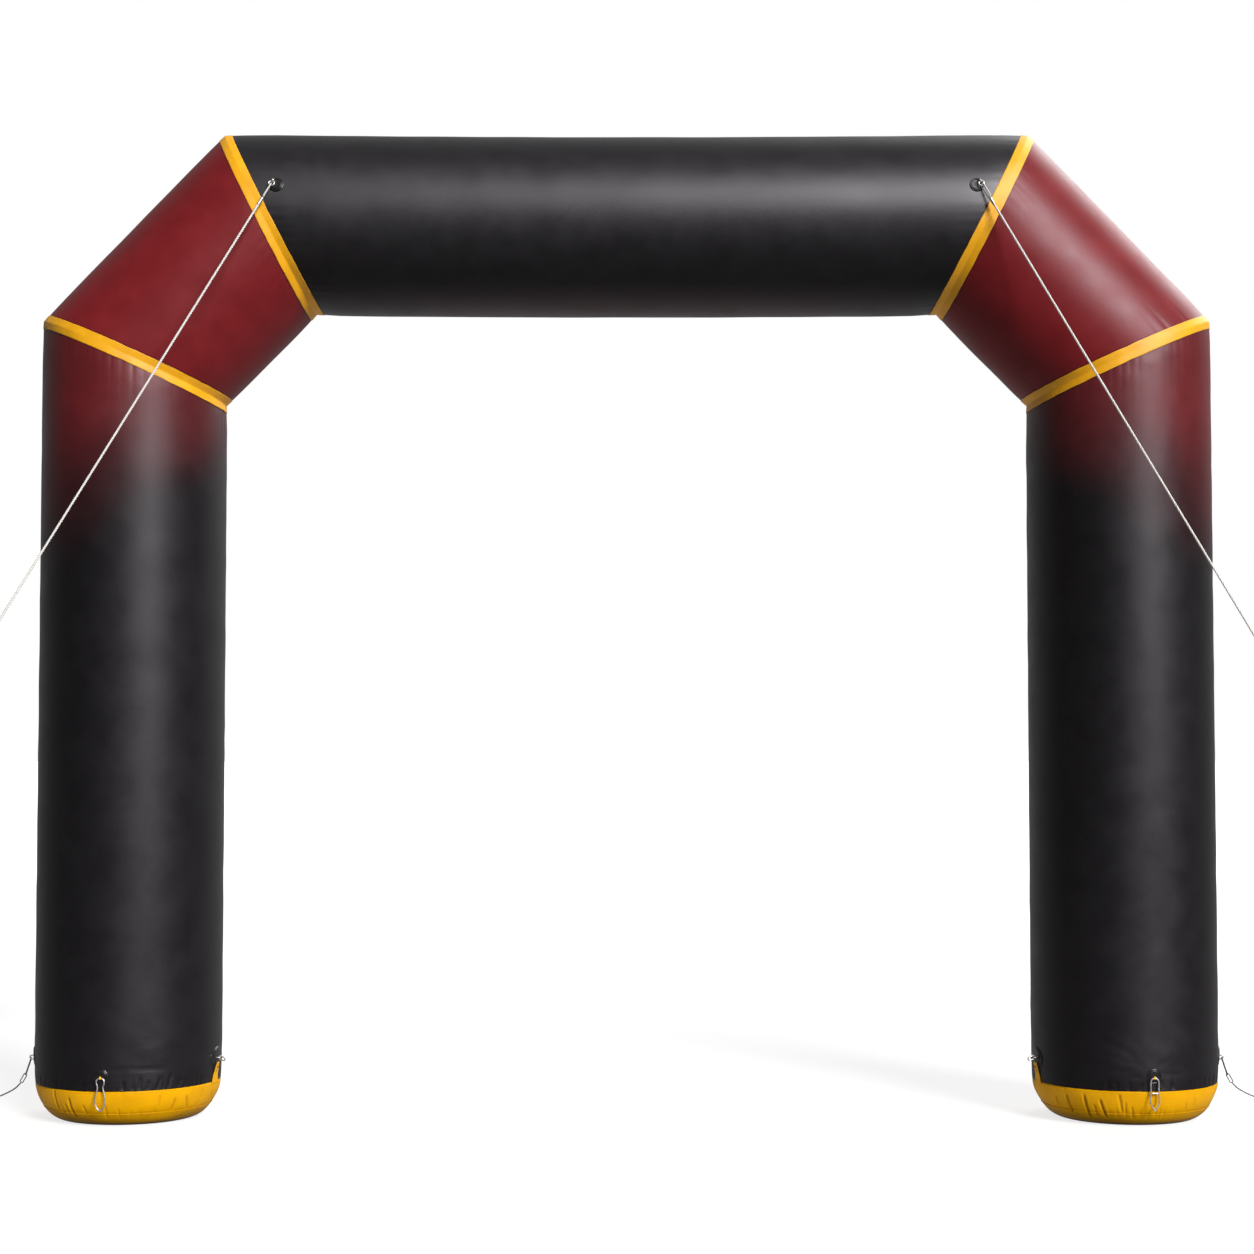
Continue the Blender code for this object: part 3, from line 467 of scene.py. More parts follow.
def polyester_rope(name):
    """Laid polyester rope: white filaments, with painted shade in the grooves between the strands."""
    made, tree, shader, fibres = new_material(name, ROPE_FIBRES)
    lay = add_node(tree, "ShaderNodeAttribute", attribute_name="lay").outputs["Fac"]
    # Painted shade: darker where the 'lay' attribute is low, in the grooves between strands
    colour = add_node(tree, "ShaderNodeValToRGB", {"Fac": lay},
                      ((0.1, linear("#8f8a85")), (0.7, linear("#e4e0db"))))
    bump = add_node(tree, "ShaderNodeBump", {"Height": fibres, "Strength": 0.5, "Distance": 0.0002})
    feed(tree, shader, {"Base Color": colour.outputs["Color"], "Roughness": 0.68,
                        "Normal": bump.outputs["Normal"]})
    return made


def sewing_thread(name, tone):
    """Bonded polyester thread, slightly glossy."""
    made, tree, shader, ply = new_material(name, THREAD_PLIES)
    dark = (*(c * 0.6 for c in linear(tone)[:3]), 1.0)
    colour = add_node(tree, "ShaderNodeValToRGB", {"Fac": ply}, ((0.3, dark), (0.7, linear(tone))))
    feed(tree, shader, {"Base Color": colour.outputs["Color"], "Roughness": 0.5})
    return made


FINISH = {
    "beam_fabric": coated_fabric("beam_tarpaulin", "#5e1d21", "#591b1f", 0.72, ("#111012", "#0e0d0f")),
    "maroon_fabric": coated_fabric("maroon_tarpaulin", "#751b1f", "#6c181c", 0.28),
    "leg_fabric": coated_fabric("faded_tarpaulin", "#64191d", "#5c171b", 0.46, ("#100f11", "#0d0c0e")),
    # Its dark maroon serves the hem and the painted shade in its tucks and over its lap
    "yellow_fabric": coated_fabric("yellow_tarpaulin", "#cb9200", "#c18900", 0.06, painted_shade_and_hem="#4a1113"),
    "yellow_webbing": tape_fabric("yellow_tape", "#f0ab12", "#e29f0c"),
    "black_patch": moulded_rubber("moulded_rubber"),
    "steel": polished_steel("bright_steel"),
    "white_rope": polyester_rope("laid_polyester"),
    "wire_rope": galvanised_wire("galvanised_wire"),
    "thread": sewing_thread("ochre_thread", "#dc9f16"),
}


def finish_piece(piece, slot, material=None, node=None):
    """Material and body of one finished piece; hides the solid that it stands for."""
    piece.data.materials.clear()
    piece.data.materials.append(FINISH[material or slot])
    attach(piece, "root")
    if node:
        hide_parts(node)


def mesh_piece(name, points, faces, uv=None, attributes=None):
    """An object at the origin from points and faces, with its cut map and point attributes."""
    mesh = bpy.data.meshes.new(name)
    mesh.from_pydata([tuple(p) for p in points], [], faces)
    mesh.update()
    if uv is not None:
        layer = mesh.uv_layers.new(name="cut")
        layer.data.foreach_set("uv", np.asarray(uv, np.float32).ravel())
    for key, values in (attributes or {}).items():
        made = mesh.attributes.new(key, "FLOAT", "POINT")
        made.data.foreach_set("value", np.asarray(values, np.float32).ravel())
    mesh.shade_smooth()
    piece = bpy.data.objects.new(name, mesh)
    bpy.context.scene.collection.objects.link(piece)
    return piece


def grid_faces(rows, count, closed_rows=False):
    """Quads between rings of points, and the row and column of each corner."""
    faces, corners = [], []
    last = rows if closed_rows else rows - 1
    for r in range(last):
        low, high = r * count, ((r + 1) % rows) * count
        for c in range(count):
            d = (c + 1) % count
            faces.append((low + c, low + d, high + d, high + c))
            corners.append(((r, c), (r, c + 1), (r + 1, c + 1), (r + 1, c)))
    return faces, corners


def grid_piece(name, grid, across, along, attributes=None, closed_rows=False):
    """A surface over rings of points; across and along give its cut map in metres."""
    rows, count = grid.shape[:2]
    faces, corners = grid_faces(rows, count, closed_rows)
    uv = [(across[c], along[r][c % count]) for quad in corners for r, c in quad]
    values = {key: value.ravel() for key, value in (attributes or {}).items()}
    piece = mesh_piece(name, grid.reshape(-1, 3), faces, uv, values)
    face_outward(piece)
    return piece


def face_outward(piece):
    """Turn every face away from the piece's own axis line or centre."""
    mesh = piece.data
    cage = bmesh.new()
    cage.from_mesh(mesh)
    bmesh.ops.recalc_face_normals(cage, faces=cage.faces)
    centre = sum((v.co for v in cage.verts), Vector()) / len(cage.verts)
    outward = sum((face.calc_center_median() - centre).dot(face.normal) * face.calc_area()
                  for face in cage.faces)
    if outward < 0:
        bmesh.ops.reverse_faces(cage, faces=cage.faces)
    cage.to_mesh(mesh)
    cage.free()


def thicken(piece, thickness):
    """Give an open surface its wall, inwards."""
    wall = piece.modifiers.new("wall", "SOLIDIFY")
    wall.thickness = thickness
    wall.offset = -1.0
    settle(piece)


def settle(piece):
    """Turn a piece's modifiers into plain mesh."""
    bpy.context.view_layer.update()
    graph = bpy.context.evaluated_depsgraph_get()
    mesh = bpy.data.meshes.new_from_object(piece.evaluated_get(graph))
    piece.modifiers.clear()
    piece.data = mesh


class Seam:
    """The joint between two tube sections: an ellipse in the mitre plane."""

    def __init__(self, outer, inner, radius):
        self.outer = np.array((outer[0], 0.0, outer[1]))
        self.inner = np.array((inner[0], 0.0, inner[1]))
        self.centre = (self.outer + self.inner) / 2
        self.half = (self.outer - self.inner) / 2
        self.radius = radius

    def ring(self, angles, grow):
        """Points round the seam, grown outwards in metres."""
        wide = self.half[None] * (1 + grow / LEG_RADIUS)[:, None]
        deep = np.zeros((len(angles), 3))
        deep[:, 1] = self.radius + grow
        return self.centre + wide * np.cos(angles)[:, None] + deep * np.sin(angles)[:, None]


def seams_of(side):
    """Ground, knee and shoulder seam of one side of the arch."""
    ground = Seam((side * (LEG_X + LEG_RADIUS), CUFF_HEIGHT),
                  (side * (LEG_X - LEG_RADIUS), CUFF_HEIGHT), LEG_RADIUS)
    knee = Seam((side * (LEG_X + LEG_RADIUS), KNEE_OUTER_Z),
                (side * (LEG_X - LEG_RADIUS), KNEE_INNER_Z), LEG_RADIUS)
    shoulder = Seam((side * SHOULDER_OUTER_X, BEAM_Z + BEAM_RADIUS),
                    (side * SHOULDER_INNER_X, BEAM_Z - BEAM_RADIUS), BEAM_RADIUS)
    return ground, knee, shoulder


def pinch(distance):
    """How far the tube is drawn in at a distance from a seam."""
    return -SEAM_PINCH * np.exp(-distance / SEAM_REACH)


def beam_sag(x):
    """How far the beam hangs below its ends at a place along it."""
    reach = (SHOULDER_OUTER_X + SHOULDER_INNER_X) / 2 - TAPE_HALF_WIDTH
    return BEAM_SAG * np.maximum(0.0, 1 - (x / reach) ** 2)


def soft_waves(angle, along, seed, turns, lengths, count=12):
    """A smooth uneven field over a tube, about -1 to 1: whole waves round it, free waves along it."""
    rng = np.random.default_rng(seed)
    total = np.zeros(np.broadcast(angle, along).shape)
    for _ in range(count):
        around = rng.integers(turns[0], turns[1] + 1)
        length = rng.uniform(*lengths)
        way = rng.choice((-1, 1))
        total += np.sin(around * angle + way * 2 * pi * along / length + rng.uniform(0, 2 * pi))
    return total / (count / 2) ** 0.5


def gathers(angle, seed, narrow=0.0):
    """Uneven narrow gathers round a seam: 0 between them, 1 in the deepest; narrow thins them out."""
    flat = np.zeros_like(angle)
    fine = soft_waves(angle, flat, seed, (38, 74), (1.0, 1.0), 9)
    patchy = soft_waves(angle, flat, seed + 1, (2, 9), (1.0, 1.0), 6)
    return np.clip(fine - 0.1 - narrow, 0, 2) * np.clip(0.55 + 0.5 * patchy, 0.1, 1.4)


def pressed(turn, height, rows):
    """Relief of folds pressed into a tube: a groove along each row's line, with low shoulders beside it."""
    total = np.zeros(np.broadcast(turn, height).shape)
    for first_turn, first_height, last_turn, last_height, depth, width in rows:
        across = LEG_RADIUS * np.radians((turn - first_turn + 180) % 360 - 180)
        up = height - first_height
        way = np.array((LEG_RADIUS * radians(last_turn - first_turn), last_height - first_height))
        long = float(np.hypot(*way))
        way /= long
        share = np.clip((across * way[0] + up * way[1]) / long, 0, 1)
        beside = ((up * way[0] - across * way[1]) / width) ** 2
        total -= depth * np.minimum(1.0, 2.2 * np.sin(pi * share)) * (1 - 0.8 * beside) * np.exp(-beside)
    return total


def skin_rows(lengths, near_rows, step):
    """Distances of a skin's rows from its near seam, one for each line along it."""
    rows = [np.full(len(lengths), distance) for distance in near_rows]
    middle = lengths - near_rows[-1] - SEAM_ROWS[-1]
    count = max(2, round(float(middle.mean()) / step))
    rows += [near_rows[-1] + middle * k / count for k in range(1, count)]
    rows += [lengths - distance for distance in reversed(SEAM_ROWS)]
    return rows


def ring_angles(count):
    """Evenly spaced angles round a ring."""
    return 2 * pi * np.arange(count) / count


def tube_skin(name, node, near, far, slot, relief, fade=None, near_rows=SEAM_ROWS, material=None):
    """The skin of one tube section between two seams; relief gives its gathers and creases in metres."""
    kind = node.split("_")[0]
    turns, step = SKIN_STEPS[kind]
    angles = ring_angles(turns)
    zero = np.zeros(turns)
    start, end = near.ring(angles, zero), far.ring(angles, zero)
    lengths = np.linalg.norm(end - start, axis=1)
    along = (end - start) / lengths[:, None]
    axis = far.centre - near.centre
    axis = axis / np.linalg.norm(axis)
    grid, from_near = [], []
    for ahead in skin_rows(lengths, near_rows, step):
        behind = lengths - ahead
        points = start + along * ahead[:, None]
        out = points - near.centre
        out -= (out @ axis)[:, None] * axis
        out /= np.linalg.norm(out, axis=1)[:, None]
        grow = pinch(ahead) + pinch(behind) + relief(angles, ahead, behind, points)
        grid.append(points + out * grow[:, None])
        from_near.append(ahead)
    grid, from_near = np.array(grid), np.array(from_near)
    nearest = np.minimum(from_near, lengths[None, :] - from_near)
    # Painted shadow on the skin along each tape's edge, carried by the 'seam' attribute
    values = {"seam": TAPE_EDGE_PAINTED_SHADOW * np.exp(-((nearest - TAPE_HALF_WIDTH) / SEAM_SHADE_WIDTH) ** 2)}
    values["fade"] = fade(angles, grid) if fade else np.zeros_like(from_near)
    if kind == "beam":
        grid[..., 2] -= beam_sag(grid[..., 0]) * np.clip((nearest - TAPE_HALF_WIDTH) / TAPE_HOLD, 0, 1)
    around = 2 * pi * near.radius
    piece = grid_piece(name, grid, around * np.arange(turns + 1) / turns, from_near, values)
    thicken(piece, SKIN_THICKNESS)
    finish_piece(piece, slot, material, node)


def bearing(points, side):
    """Degrees from a leg's front line, towards the viewer's right."""
    return np.degrees(np.arctan2(points[..., 0] - side * LEG_X, -points[..., 1]))


def fading(distance, place):
    """How much of a seam's gathers is left at a distance from it."""
    return np.exp(-(distance / GATHER_REACH[place]) ** 1.5)


def leg_relief(side, seed):
    """Gathers over the cuff and under the knee tape, soft creases down the leg, pulls round the patches."""
    def relief(angles, ahead, behind, points):
        clear = 1 - np.exp(-ahead / SEAM_CLEAR)
        foot = gathers(angles, seed, ahead / GATHER_REACH["foot"])
        knee = gathers(angles, seed + 5) * fading(behind, "knee")
        slack = soft_waves(angles, points[:, 2], seed + 9, (1, 5), (0.16, 0.42), 14)
        fine = soft_waves(angles, points[:, 2], seed + 12, (6, 16), (0.07, 0.20), 12)
        pulls = pressed(bearing(points, side), points[:, 2], PULLS["left" if side < 0 else "right"])
        return clear * (pulls - FOOT_GATHER * foot) - KNEE_GATHER * knee + LEG_SLACK * slack + FINE_SLACK * fine
    return relief


def corner_relief(seed):
    """Gathers beside both tapes and soft creases between them."""
    def relief(angles, ahead, behind, points):
        near = gathers(angles, seed) * fading(ahead, "corner_knee")
        far = gathers(angles, seed + 3) * fading(behind, "corner_shoulder")
        slack = soft_waves(angles, ahead, seed + 6, (1, 6), (0.18, 0.5), 12)
        return -TAPE_GATHER * (near + far) + CORNER_SLACK * slack
    return relief


def beam_relief(angles, ahead, behind, points):
    """Gathers beside the shoulder tapes and soft creases between them."""
    near = gathers(angles, 41) * fading(ahead, "beam")
    far = gathers(angles, 47) * fading(behind, "beam")
    slack = soft_waves(angles, points[:, 0], 53, (1, 5), (0.3, 0.8), 12)
    return -TAPE_GATHER * (near + far) + BEAM_SLACK * slack


def leg_fade(side):
    """How much of the printed maroon shows: full at the knee, gone a metre below, sooner on the inside."""
    def fade(angles, grid):
        outward = (grid[..., 0] * side - LEG_X) / LEG_RADIUS
        low, high = (height - lower * outward for height, lower in (FADE_END, FADE_FULL))
        uneven = soft_waves(angles[None, :], grid[..., 2], 71, (1, 4), (0.5, 1.5), 8)
        share = (grid[..., 2] - low + FADE_UNEVEN * uneven) / (high - low)
        share = np.clip(share, 0, 1)
        return share * share * (3 - 2 * share)
    return fade


def beam_fade(angles, grid):
    """The printed shade along the beam's underside."""
    depth, blend, most, reach = UNDERSIDE
    lower = np.clip((BEAM_Z - depth - grid[..., 2]) / blend, 0, 1)
    return most * lower * np.exp(-(grid[..., 0] / reach) ** 4)


def seam_tape(name, node, near, middle, far):
    """A sewn tape folded over a seam, slightly domed, with thin edges."""
    turns = SKIN_STEPS["tape"][0]
    angles = ring_angles(turns)
    zero = np.zeros(turns)

    def line_at(share, rise, wobble):
        """Points round the tape at a share of its half width, and the way across it there."""
        distance = abs(share) * TAPE_HALF_WIDTH
        grow = pinch(np.full(turns, distance)) + GAP + rise
        start = middle.ring(angles, grow)
        way = (near if share < 0 else far).ring(angles, grow) - start
        way /= np.linalg.norm(way, axis=1)[:, None]
        return start + way * (distance + wobble)[:, None], way

    centre_line = middle.ring(angles, zero)
    perimeter = float(np.linalg.norm(np.roll(centre_line, -1, axis=0) - centre_line, axis=1).sum())
    profile = [(-share, TAPE_THICKNESS * high) for share, high in TAPE_PROFILE]
    profile += [(-w, h) for w, h in reversed(profile[:-1])]
    profile += [(share, 0.0) for share in (0.8, 0.4, 0.0, -0.4, -0.8)]
    uneven = soft_waves(angles, zero, 91, (5, 40), (1.0, 1.0), 10)
    grid, shade, along = [], [], []
    for share, height in profile:
        rise = height + (TAPE_UNEVEN[0] * uneven if height else 0)
        grid.append(line_at(share, rise, TAPE_UNEVEN[1] * uneven * abs(share))[0])
        # Painted shade on the tape's edges where they meet the skin
        shade.append(np.full(turns, TAPE_SIDE_PAINTED_SHADE if abs(share) > 0.99 else 0.0))
        along.append(np.full(turns, share * TAPE_HALF_WIDTH))
    along.append(along[0])
    across = perimeter * np.arange(turns + 1) / turns
    piece = grid_piece(name, np.array(grid), across, along, {"seam": np.array(shade)}, closed_rows=True)
    finish_piece(piece, "yellow_webbing", node=node)
    rows = []
    for share in (-TAPE_STITCHES, TAPE_STITCHES):
        line, way = line_at(share, TAPE_THICKNESS, zero)
        out = line - middle.centre
        out -= np.einsum("ij,ij->i", out, way)[:, None] * way
        rows.append((line, out / np.linalg.norm(out, axis=1)[:, None]))
    stitch_rows(name + "_stitches", rows, "yellow_webbing")


def cuff_radius(height):
    """Radius of the rounded base at a height."""
    level = np.clip(1 - height / (CUFF_HEIGHT - GAP), 0, 1) ** (CUFF_ROUNDNESS / 2)
    spread = np.sqrt(np.clip(1 - level ** 2, 0, 1)) ** (2 / CUFF_ROUNDNESS)
    return CUFF_FLAT_RADIUS + (LEG_RADIUS - SEAM_PINCH - CUFF_FLAT_RADIUS) * spread


def foot_turns(side, count):
    """Bearing in degrees of each point round a foot."""
    angles = ring_angles(count)
    return np.degrees(np.arctan2(side * np.cos(angles), -np.sin(angles)))


def tuck_painted_shade(side, height, count):
    """How deep each point of a ring lies in a tuck, from 0 to 1: the strength of the painted shade there."""
    word = "left" if side < 0 else "right"
    return np.clip(-pressed(foot_turns(side, count), height, TUCKS[word]) / FULL_FOLD, 0, 1)


def base_ring(side, height, count, inset=0.0, radius=None):
    """One ring of points round a yellow base, with its tucks and gathers."""
    angles = ring_angles(count)
    word = "left" if side < 0 else "right"
    level = np.full(count, height)
    reach = cuff_radius(level) if radius is None else np.full(count, radius)
    turn = foot_turns(side, count)
    fall = min(1.0, height / 0.02)
    top = gathers(angles, 31 + side) * exp(-((height - CUFF_HEIGHT) / 0.030) ** 2)
    near_seam = gathers(angles, 35 + side) * exp(-((height - BASE_SEAM_Z) / 0.018) ** 2)
    slack = soft_waves(angles, level, 37 + side, (2, 9), (0.08, 0.2), 10)
    relief = (pressed(turn, level, TUCKS[word]) - CUFF_TOP_GATHER * top - BASE_SEAM_GATHER * near_seam
              + BASE_SLACK * slack)
    reach = reach + fall * relief + inset
    return np.stack((side * (LEG_X + reach * np.cos(angles)), reach * np.sin(angles), level), 1)


def base_sheet(name, word, grid, along, seam, **flat):
    """One sheet of a yellow base, from its rings of points."""
    turns = grid[0].shape[0]
    around = 2 * pi * LEG_RADIUS * np.arange(turns + 1) / turns
    piece = grid_piece(name + word, np.array(grid), around, [np.full(turns, place) for place in along],
                       {"seam": np.array(seam)})
    if name == "base_panel_":
        close_middle(piece, (SIDES[word] * LEG_X, 0.0, 0.0))
    thicken(piece, SKIN_THICKNESS)
    finish_piece(piece, "yellow_fabric", node="foot_cuff_" + word)


def foot_base(word):
    """Wall and base panel of one yellow base, joined by a sewn seam."""
    side = SIDES[word]
    count, step = SKIN_STEPS["cuff"]
    tall = CUFF_HEIGHT - GAP - BASE_SEAM_Z + SEAM_LAP
    rows = round(tall / step)
    grid, along, seam = [], [], []
    for k in range(rows + 1):
        height = CUFF_HEIGHT - GAP - tall * k / rows
        above = max(0.0, height - BASE_SEAM_Z)
        rolled = (-CUFF_ROLL[0] * exp(-(CUFF_HEIGHT - height) / CUFF_ROLL[1])
                  - LAP_ROLL[0] * exp(-above / LAP_ROLL[1]))
        grid.append(base_ring(side, height, count, rolled))
        along.append(CUFF_HEIGHT - height)
        # Painted shadow just above the lap, and painted shade in the tucks
        seam.append(LAP_PAINTED_SHADOW[0] * exp(-(above / LAP_PAINTED_SHADOW[1]) ** 2)
                    + TUCK_PAINTED_SHADE * tuck_painted_shade(side, height, count))
    base_sheet("cuff_wall_", word, grid, along, seam, flat=(round(2 * pi * LEG_RADIUS + SEAM_ALLOWANCE, 3),
                                                            round(tall + SEAM_ALLOWANCE, 3)))

    count, step = SKIN_STEPS["base"]
    rows = round(BASE_SEAM_Z / step)
    grid, along, seam = [], [], []
    heights = [BASE_SEAM_Z * (1 - k / rows) ** 1.4 for k in range(rows + 1)]
    heights[1:1] = [BASE_SEAM_Z - below for below in LIP_ROWS]
    for height in heights:
        below = BASE_SEAM_Z - height
        lip = LIP_SWELL[0] * exp(-(below / LIP_SWELL[1]) ** 2) - LIP_EDGE[0] * exp(-below / LIP_EDGE[1])
        grid.append(base_ring(side, height, count, lip))
        along.append(LEG_RADIUS - height)
        hem = HEM_SHADE * exp(-(height / HEM_HEIGHT) ** 4)
        # The hem's dark maroon at the ground, and painted shade in the tucks
        seam.append(np.maximum(hem, TUCK_PAINTED_SHADE * tuck_painted_shade(side, height, count)))
    for radius in PANEL_RINGS:
        grid.append(base_ring(side, 0.0, count, 0.0, radius))
        along.append(radius)
        seam.append(np.full(count, PANEL_SHADE))
    base_sheet("base_panel_", word, grid, along, seam, flat=BASE_PANEL_FLAT, area=BASE_PANEL_AREA)

    lines = []
    for height, proud in BASE_STITCHES:
        line = base_ring(side, height, count, proud)
        out = line - np.array((side * LEG_X, 0.0, height))
        lines.append((line, out / np.linalg.norm(out, axis=1)[:, None]))
    stitch_rows("cuff_stitches_" + word, lines, "yellow_fabric")


def close_middle(piece, centre):
    """Fill the hole in the middle of a disc of rings with a fan."""
    cage = bmesh.new()
    cage.from_mesh(piece.data)
    rim = [edge for edge in cage.edges if edge.is_boundary
           and max((vert.co - Vector(centre)).length for vert in edge.verts) < 0.1]
    hub = cage.verts.new(Vector(centre))
    for edge in rim:
        face = edge.link_faces[0]
        loop = next(corner for corner in face.loops if corner.edge == edge)
        one, two = loop.vert, loop.link_loop_next.vert
        cage.faces.new((two, one, hub)).smooth = True
    cage.to_mesh(piece.data)
    cage.free()


def stitch_tree():
    """A node tree that sews a row of stitches along each line of a mesh."""
    tree = bpy.data.node_groups.new("sewn_rows", "GeometryNodeTree")
    panel = tree.interface
    panel.new_socket("Geometry", in_out="INPUT", socket_type="NodeSocketGeometry")
    for label in ("Pitch", "Stitch Length", "Thread Width"):
        panel.new_socket(label, in_out="INPUT", socket_type="NodeSocketFloat")
    panel.new_socket("Thread", in_out="INPUT", socket_type="NodeSocketMaterial")
    panel.new_socket("Geometry", in_out="OUTPUT", socket_type="NodeSocketGeometry")
    source = add_node(tree, "NodeGroupInput").outputs
    lines = add_node(tree, "GeometryNodeMeshToCurve", {"Mesh": source["Geometry"]})
    spaced = add_node(tree, "GeometryNodeResampleCurve", {"Curve": lines.outputs[0],
                                                          "Length": source["Pitch"]}, mode="LENGTH")
    tangent = add_node(tree, "GeometryNodeInputTangent")
    outward = add_node(tree, "GeometryNodeInputNamedAttribute", {"Name": "outward"}, data_type="FLOAT_VECTOR")
    turned = add_node(tree, "FunctionNodeAxesToRotation", {0: tangent.outputs[0], 1: outward.outputs[0]},
                      primary_axis="X", secondary_axis="Z")
    half_length = add_node(tree, "ShaderNodeMath", {0: source["Stitch Length"], 1: 0.5}, operation="MULTIPLY")
    half_width = add_node(tree, "ShaderNodeMath", {0: source["Thread Width"], 1: 0.5}, operation="MULTIPLY")
    size = add_node(tree, "ShaderNodeCombineXYZ", {"X": half_length.outputs[0], "Y": half_width.outputs[0],
                                                   "Z": half_width.outputs[0]})
    stitch = add_node(tree, "GeometryNodeMeshUVSphere", {"Segments": 5, "Rings": 3, "Radius": 1.0})
    sewn = add_node(tree, "GeometryNodeInstanceOnPoints", {
        "Points": spaced.outputs[0], "Instance": stitch.outputs["Mesh"], "Rotation": turned.outputs[0],
        "Scale": size.outputs[0]})
    real = add_node(tree, "GeometryNodeRealizeInstances", {"Geometry": sewn.outputs[0]})
    smooth = add_node(tree, "GeometryNodeSetShadeSmooth", {0: real.outputs[0]})
    dyed = add_node(tree, "GeometryNodeSetMaterial", {"Geometry": smooth.outputs[0],
                                                      "Material": source["Thread"]})
    add_node(tree, "NodeGroupOutput", {"Geometry": dyed.outputs[0]})
    return tree


def set_inputs(modifier, values):
    """Set a node modifier's inputs by their shown names."""
    for item in modifier.node_group.interface.items_tree:
        if item.item_type == "SOCKET" and item.in_out == "INPUT" and item.name in values:
            modifier[item.identifier] = values[item.name]


SEWN_ROWS = stitch_tree()


def stitch_rows(name, rows, slot):
    """Stitches along rows; each row is a closed line of points and their outward directions."""
    mesh = bpy.data.meshes.new(name + "_lines")
    points, edges, outward = [], [], []
    for line, out in rows:
        first, count = len(points), len(line)
        points += [tuple(p) for p in line]
        outward += [tuple(v) for v in out]
        edges += [(first + i, first + (i + 1) % count) for i in range(count)]
    mesh.from_pydata(points, edges, [])
    made = mesh.attributes.new("outward", "FLOAT_VECTOR", "POINT")
    made.data.foreach_set("vector", np.asarray(outward, np.float32).ravel())
    piece = bpy.data.objects.new(name, mesh)
    bpy.context.scene.collection.objects.link(piece)
    sewing = piece.modifiers.new("sewing", "NODES")
    sewing.node_group = SEWN_ROWS
    set_inputs(sewing, {"Pitch": STITCH_PITCH, "Stitch Length": STITCH_LENGTH,
                        "Thread Width": STITCH_WIDTH, "Thread": FINISH["thread"]})
    settle(piece)
    bpy.data.meshes.remove(mesh)
    finish_piece(piece, slot, "thread")


class Seat:
    """A place on a surface: wrap gives a point that follows its curve, at one on its flat tangent."""

    def out(self):
        """The way straight out of the surface."""
        return (self.at(0, 0, 1) - self.at(0, 0, 0)).normalized()

    def around(self):
        """The way sideways along the surface."""
        return (self.at(1, 0, 0) - self.at(0, 0, 0)).normalized()


class LegSeat(Seat):
    """A place on a leg's surface: u runs round the leg, v up, w out of the surface."""

    def __init__(self, side, angle, height, turn=1):
        self.centre = Vector((side * LEG_X, 0.0, 0.0))
        self.angle = radians(angle)
        self.height = height
        self.turn = turn

    def wrap(self, u, v, w):
        turn = self.angle + self.turn * u / LEG_RADIUS
        reach = LEG_RADIUS + w + float(pinch(abs(self.height + v - CUFF_HEIGHT)))
        return self.centre + Vector((reach * cos(turn), reach * sin(turn), self.height + v))

    def at(self, u, v, w):
        out = Vector((cos(self.angle), sin(self.angle), 0.0))
        around = Vector((-out.y, out.x, 0.0)) * self.turn
        reach = LEG_RADIUS + w + float(pinch(abs(self.height - CUFF_HEIGHT)))
        return self.centre + out * reach + around * u + Vector((0.0, 0.0, self.height + v))


class BeamSeat(Seat):
    """A place on the beam's front: u runs along the beam, v up round it, w out of it."""

    def __init__(self, x, angle):
        self.centre = Vector((x, 0.0, BEAM_Z - float(beam_sag(x))))
        self.angle = radians(angle)
        middle = (SHOULDER_OUTER_X + SHOULDER_INNER_X) / 2
        lean = (SHOULDER_OUTER_X - SHOULDER_INNER_X) / 2
        self.radius = BEAM_RADIUS + float(pinch(middle + lean * sin(self.angle) - abs(x)))

    def wrap(self, u, v, w):
        turn = self.angle + v / BEAM_RADIUS
        reach = self.radius + w
        return self.centre + Vector((u, -reach * cos(turn), reach * sin(turn)))

    def at(self, u, v, w):
        out = Vector((0.0, -cos(self.angle), sin(self.angle)))
        up = Vector((0.0, sin(self.angle), cos(self.angle)))
        return self.centre + out * (self.radius + w) + up * v + Vector((u, 0.0, 0.0))


def even_points(line, count, closed=False):
    """Equally spaced points along a line of vectors; a closed line ends where it starts."""
    lengths = [0.0]
    for one, two in zip(line, line[1:]):
        lengths.append(lengths[-1] + (two - one).length)
    made = []
    spot = 0
    shares = count if closed else count - 1
    for n in range(count):
        target = lengths[-1] * n / shares
        while spot < len(lengths) - 2 and lengths[spot + 1] < target:
            spot += 1
        span = lengths[spot + 1] - lengths[spot]
        made.append(line[spot].lerp(line[spot + 1], (target - lengths[spot]) / span))
    return made


def smooth_route(points, count, closed=False):
    """Equally spaced points on a smooth curve through a route's own points."""
    route = [Vector(point) for point in points]
    size = len(route)
    fine = []
    steps = 24
    for k in range(size if closed else size - 1):
        if closed:
            before, start, end, after = (route[(k + n) % size] for n in (-1, 0, 1, 2))
        else:
            start, end = route[k], route[k + 1]
            before = route[k - 1] if k else start * 2 - end
            after = route[k + 2] if k + 2 < size else end * 2 - start
        for step in range(steps):
            t = step / steps
            fine.append(0.5 * (2 * start + (end - before) * t
                               + (2 * before - 5 * start + 4 * end - after) * t ** 2
                               + (3 * start - before - 3 * end + after) * t ** 3))
    fine.append(route[0].copy() if closed else route[-1].copy())
    return even_points(fine, count, closed)


def arch_outline(size, count):
    """Points round a tab with an arched top and rounded lower corners."""
    width, height = size
    half = width / 2
    rise = min(half, height * 0.62)
    corner = min(half, height) * 0.3
    edge, floor = half - corner, corner - height / 2
    line = [Vector((half * cos(pi * i / 48), height / 2 - rise + rise * sin(pi * i / 48))) for i in range(49)]
    for middle, first in ((-edge, pi), (edge, 1.5 * pi)):
        line += [Vector((middle + corner * cos(first + pi * i / 24), floor + corner * sin(first + pi * i / 24)))
                 for i in range(13)]
    line.append(line[0].copy())
    return [(point.x, point.y) for point in even_points(line, count, closed=True)]


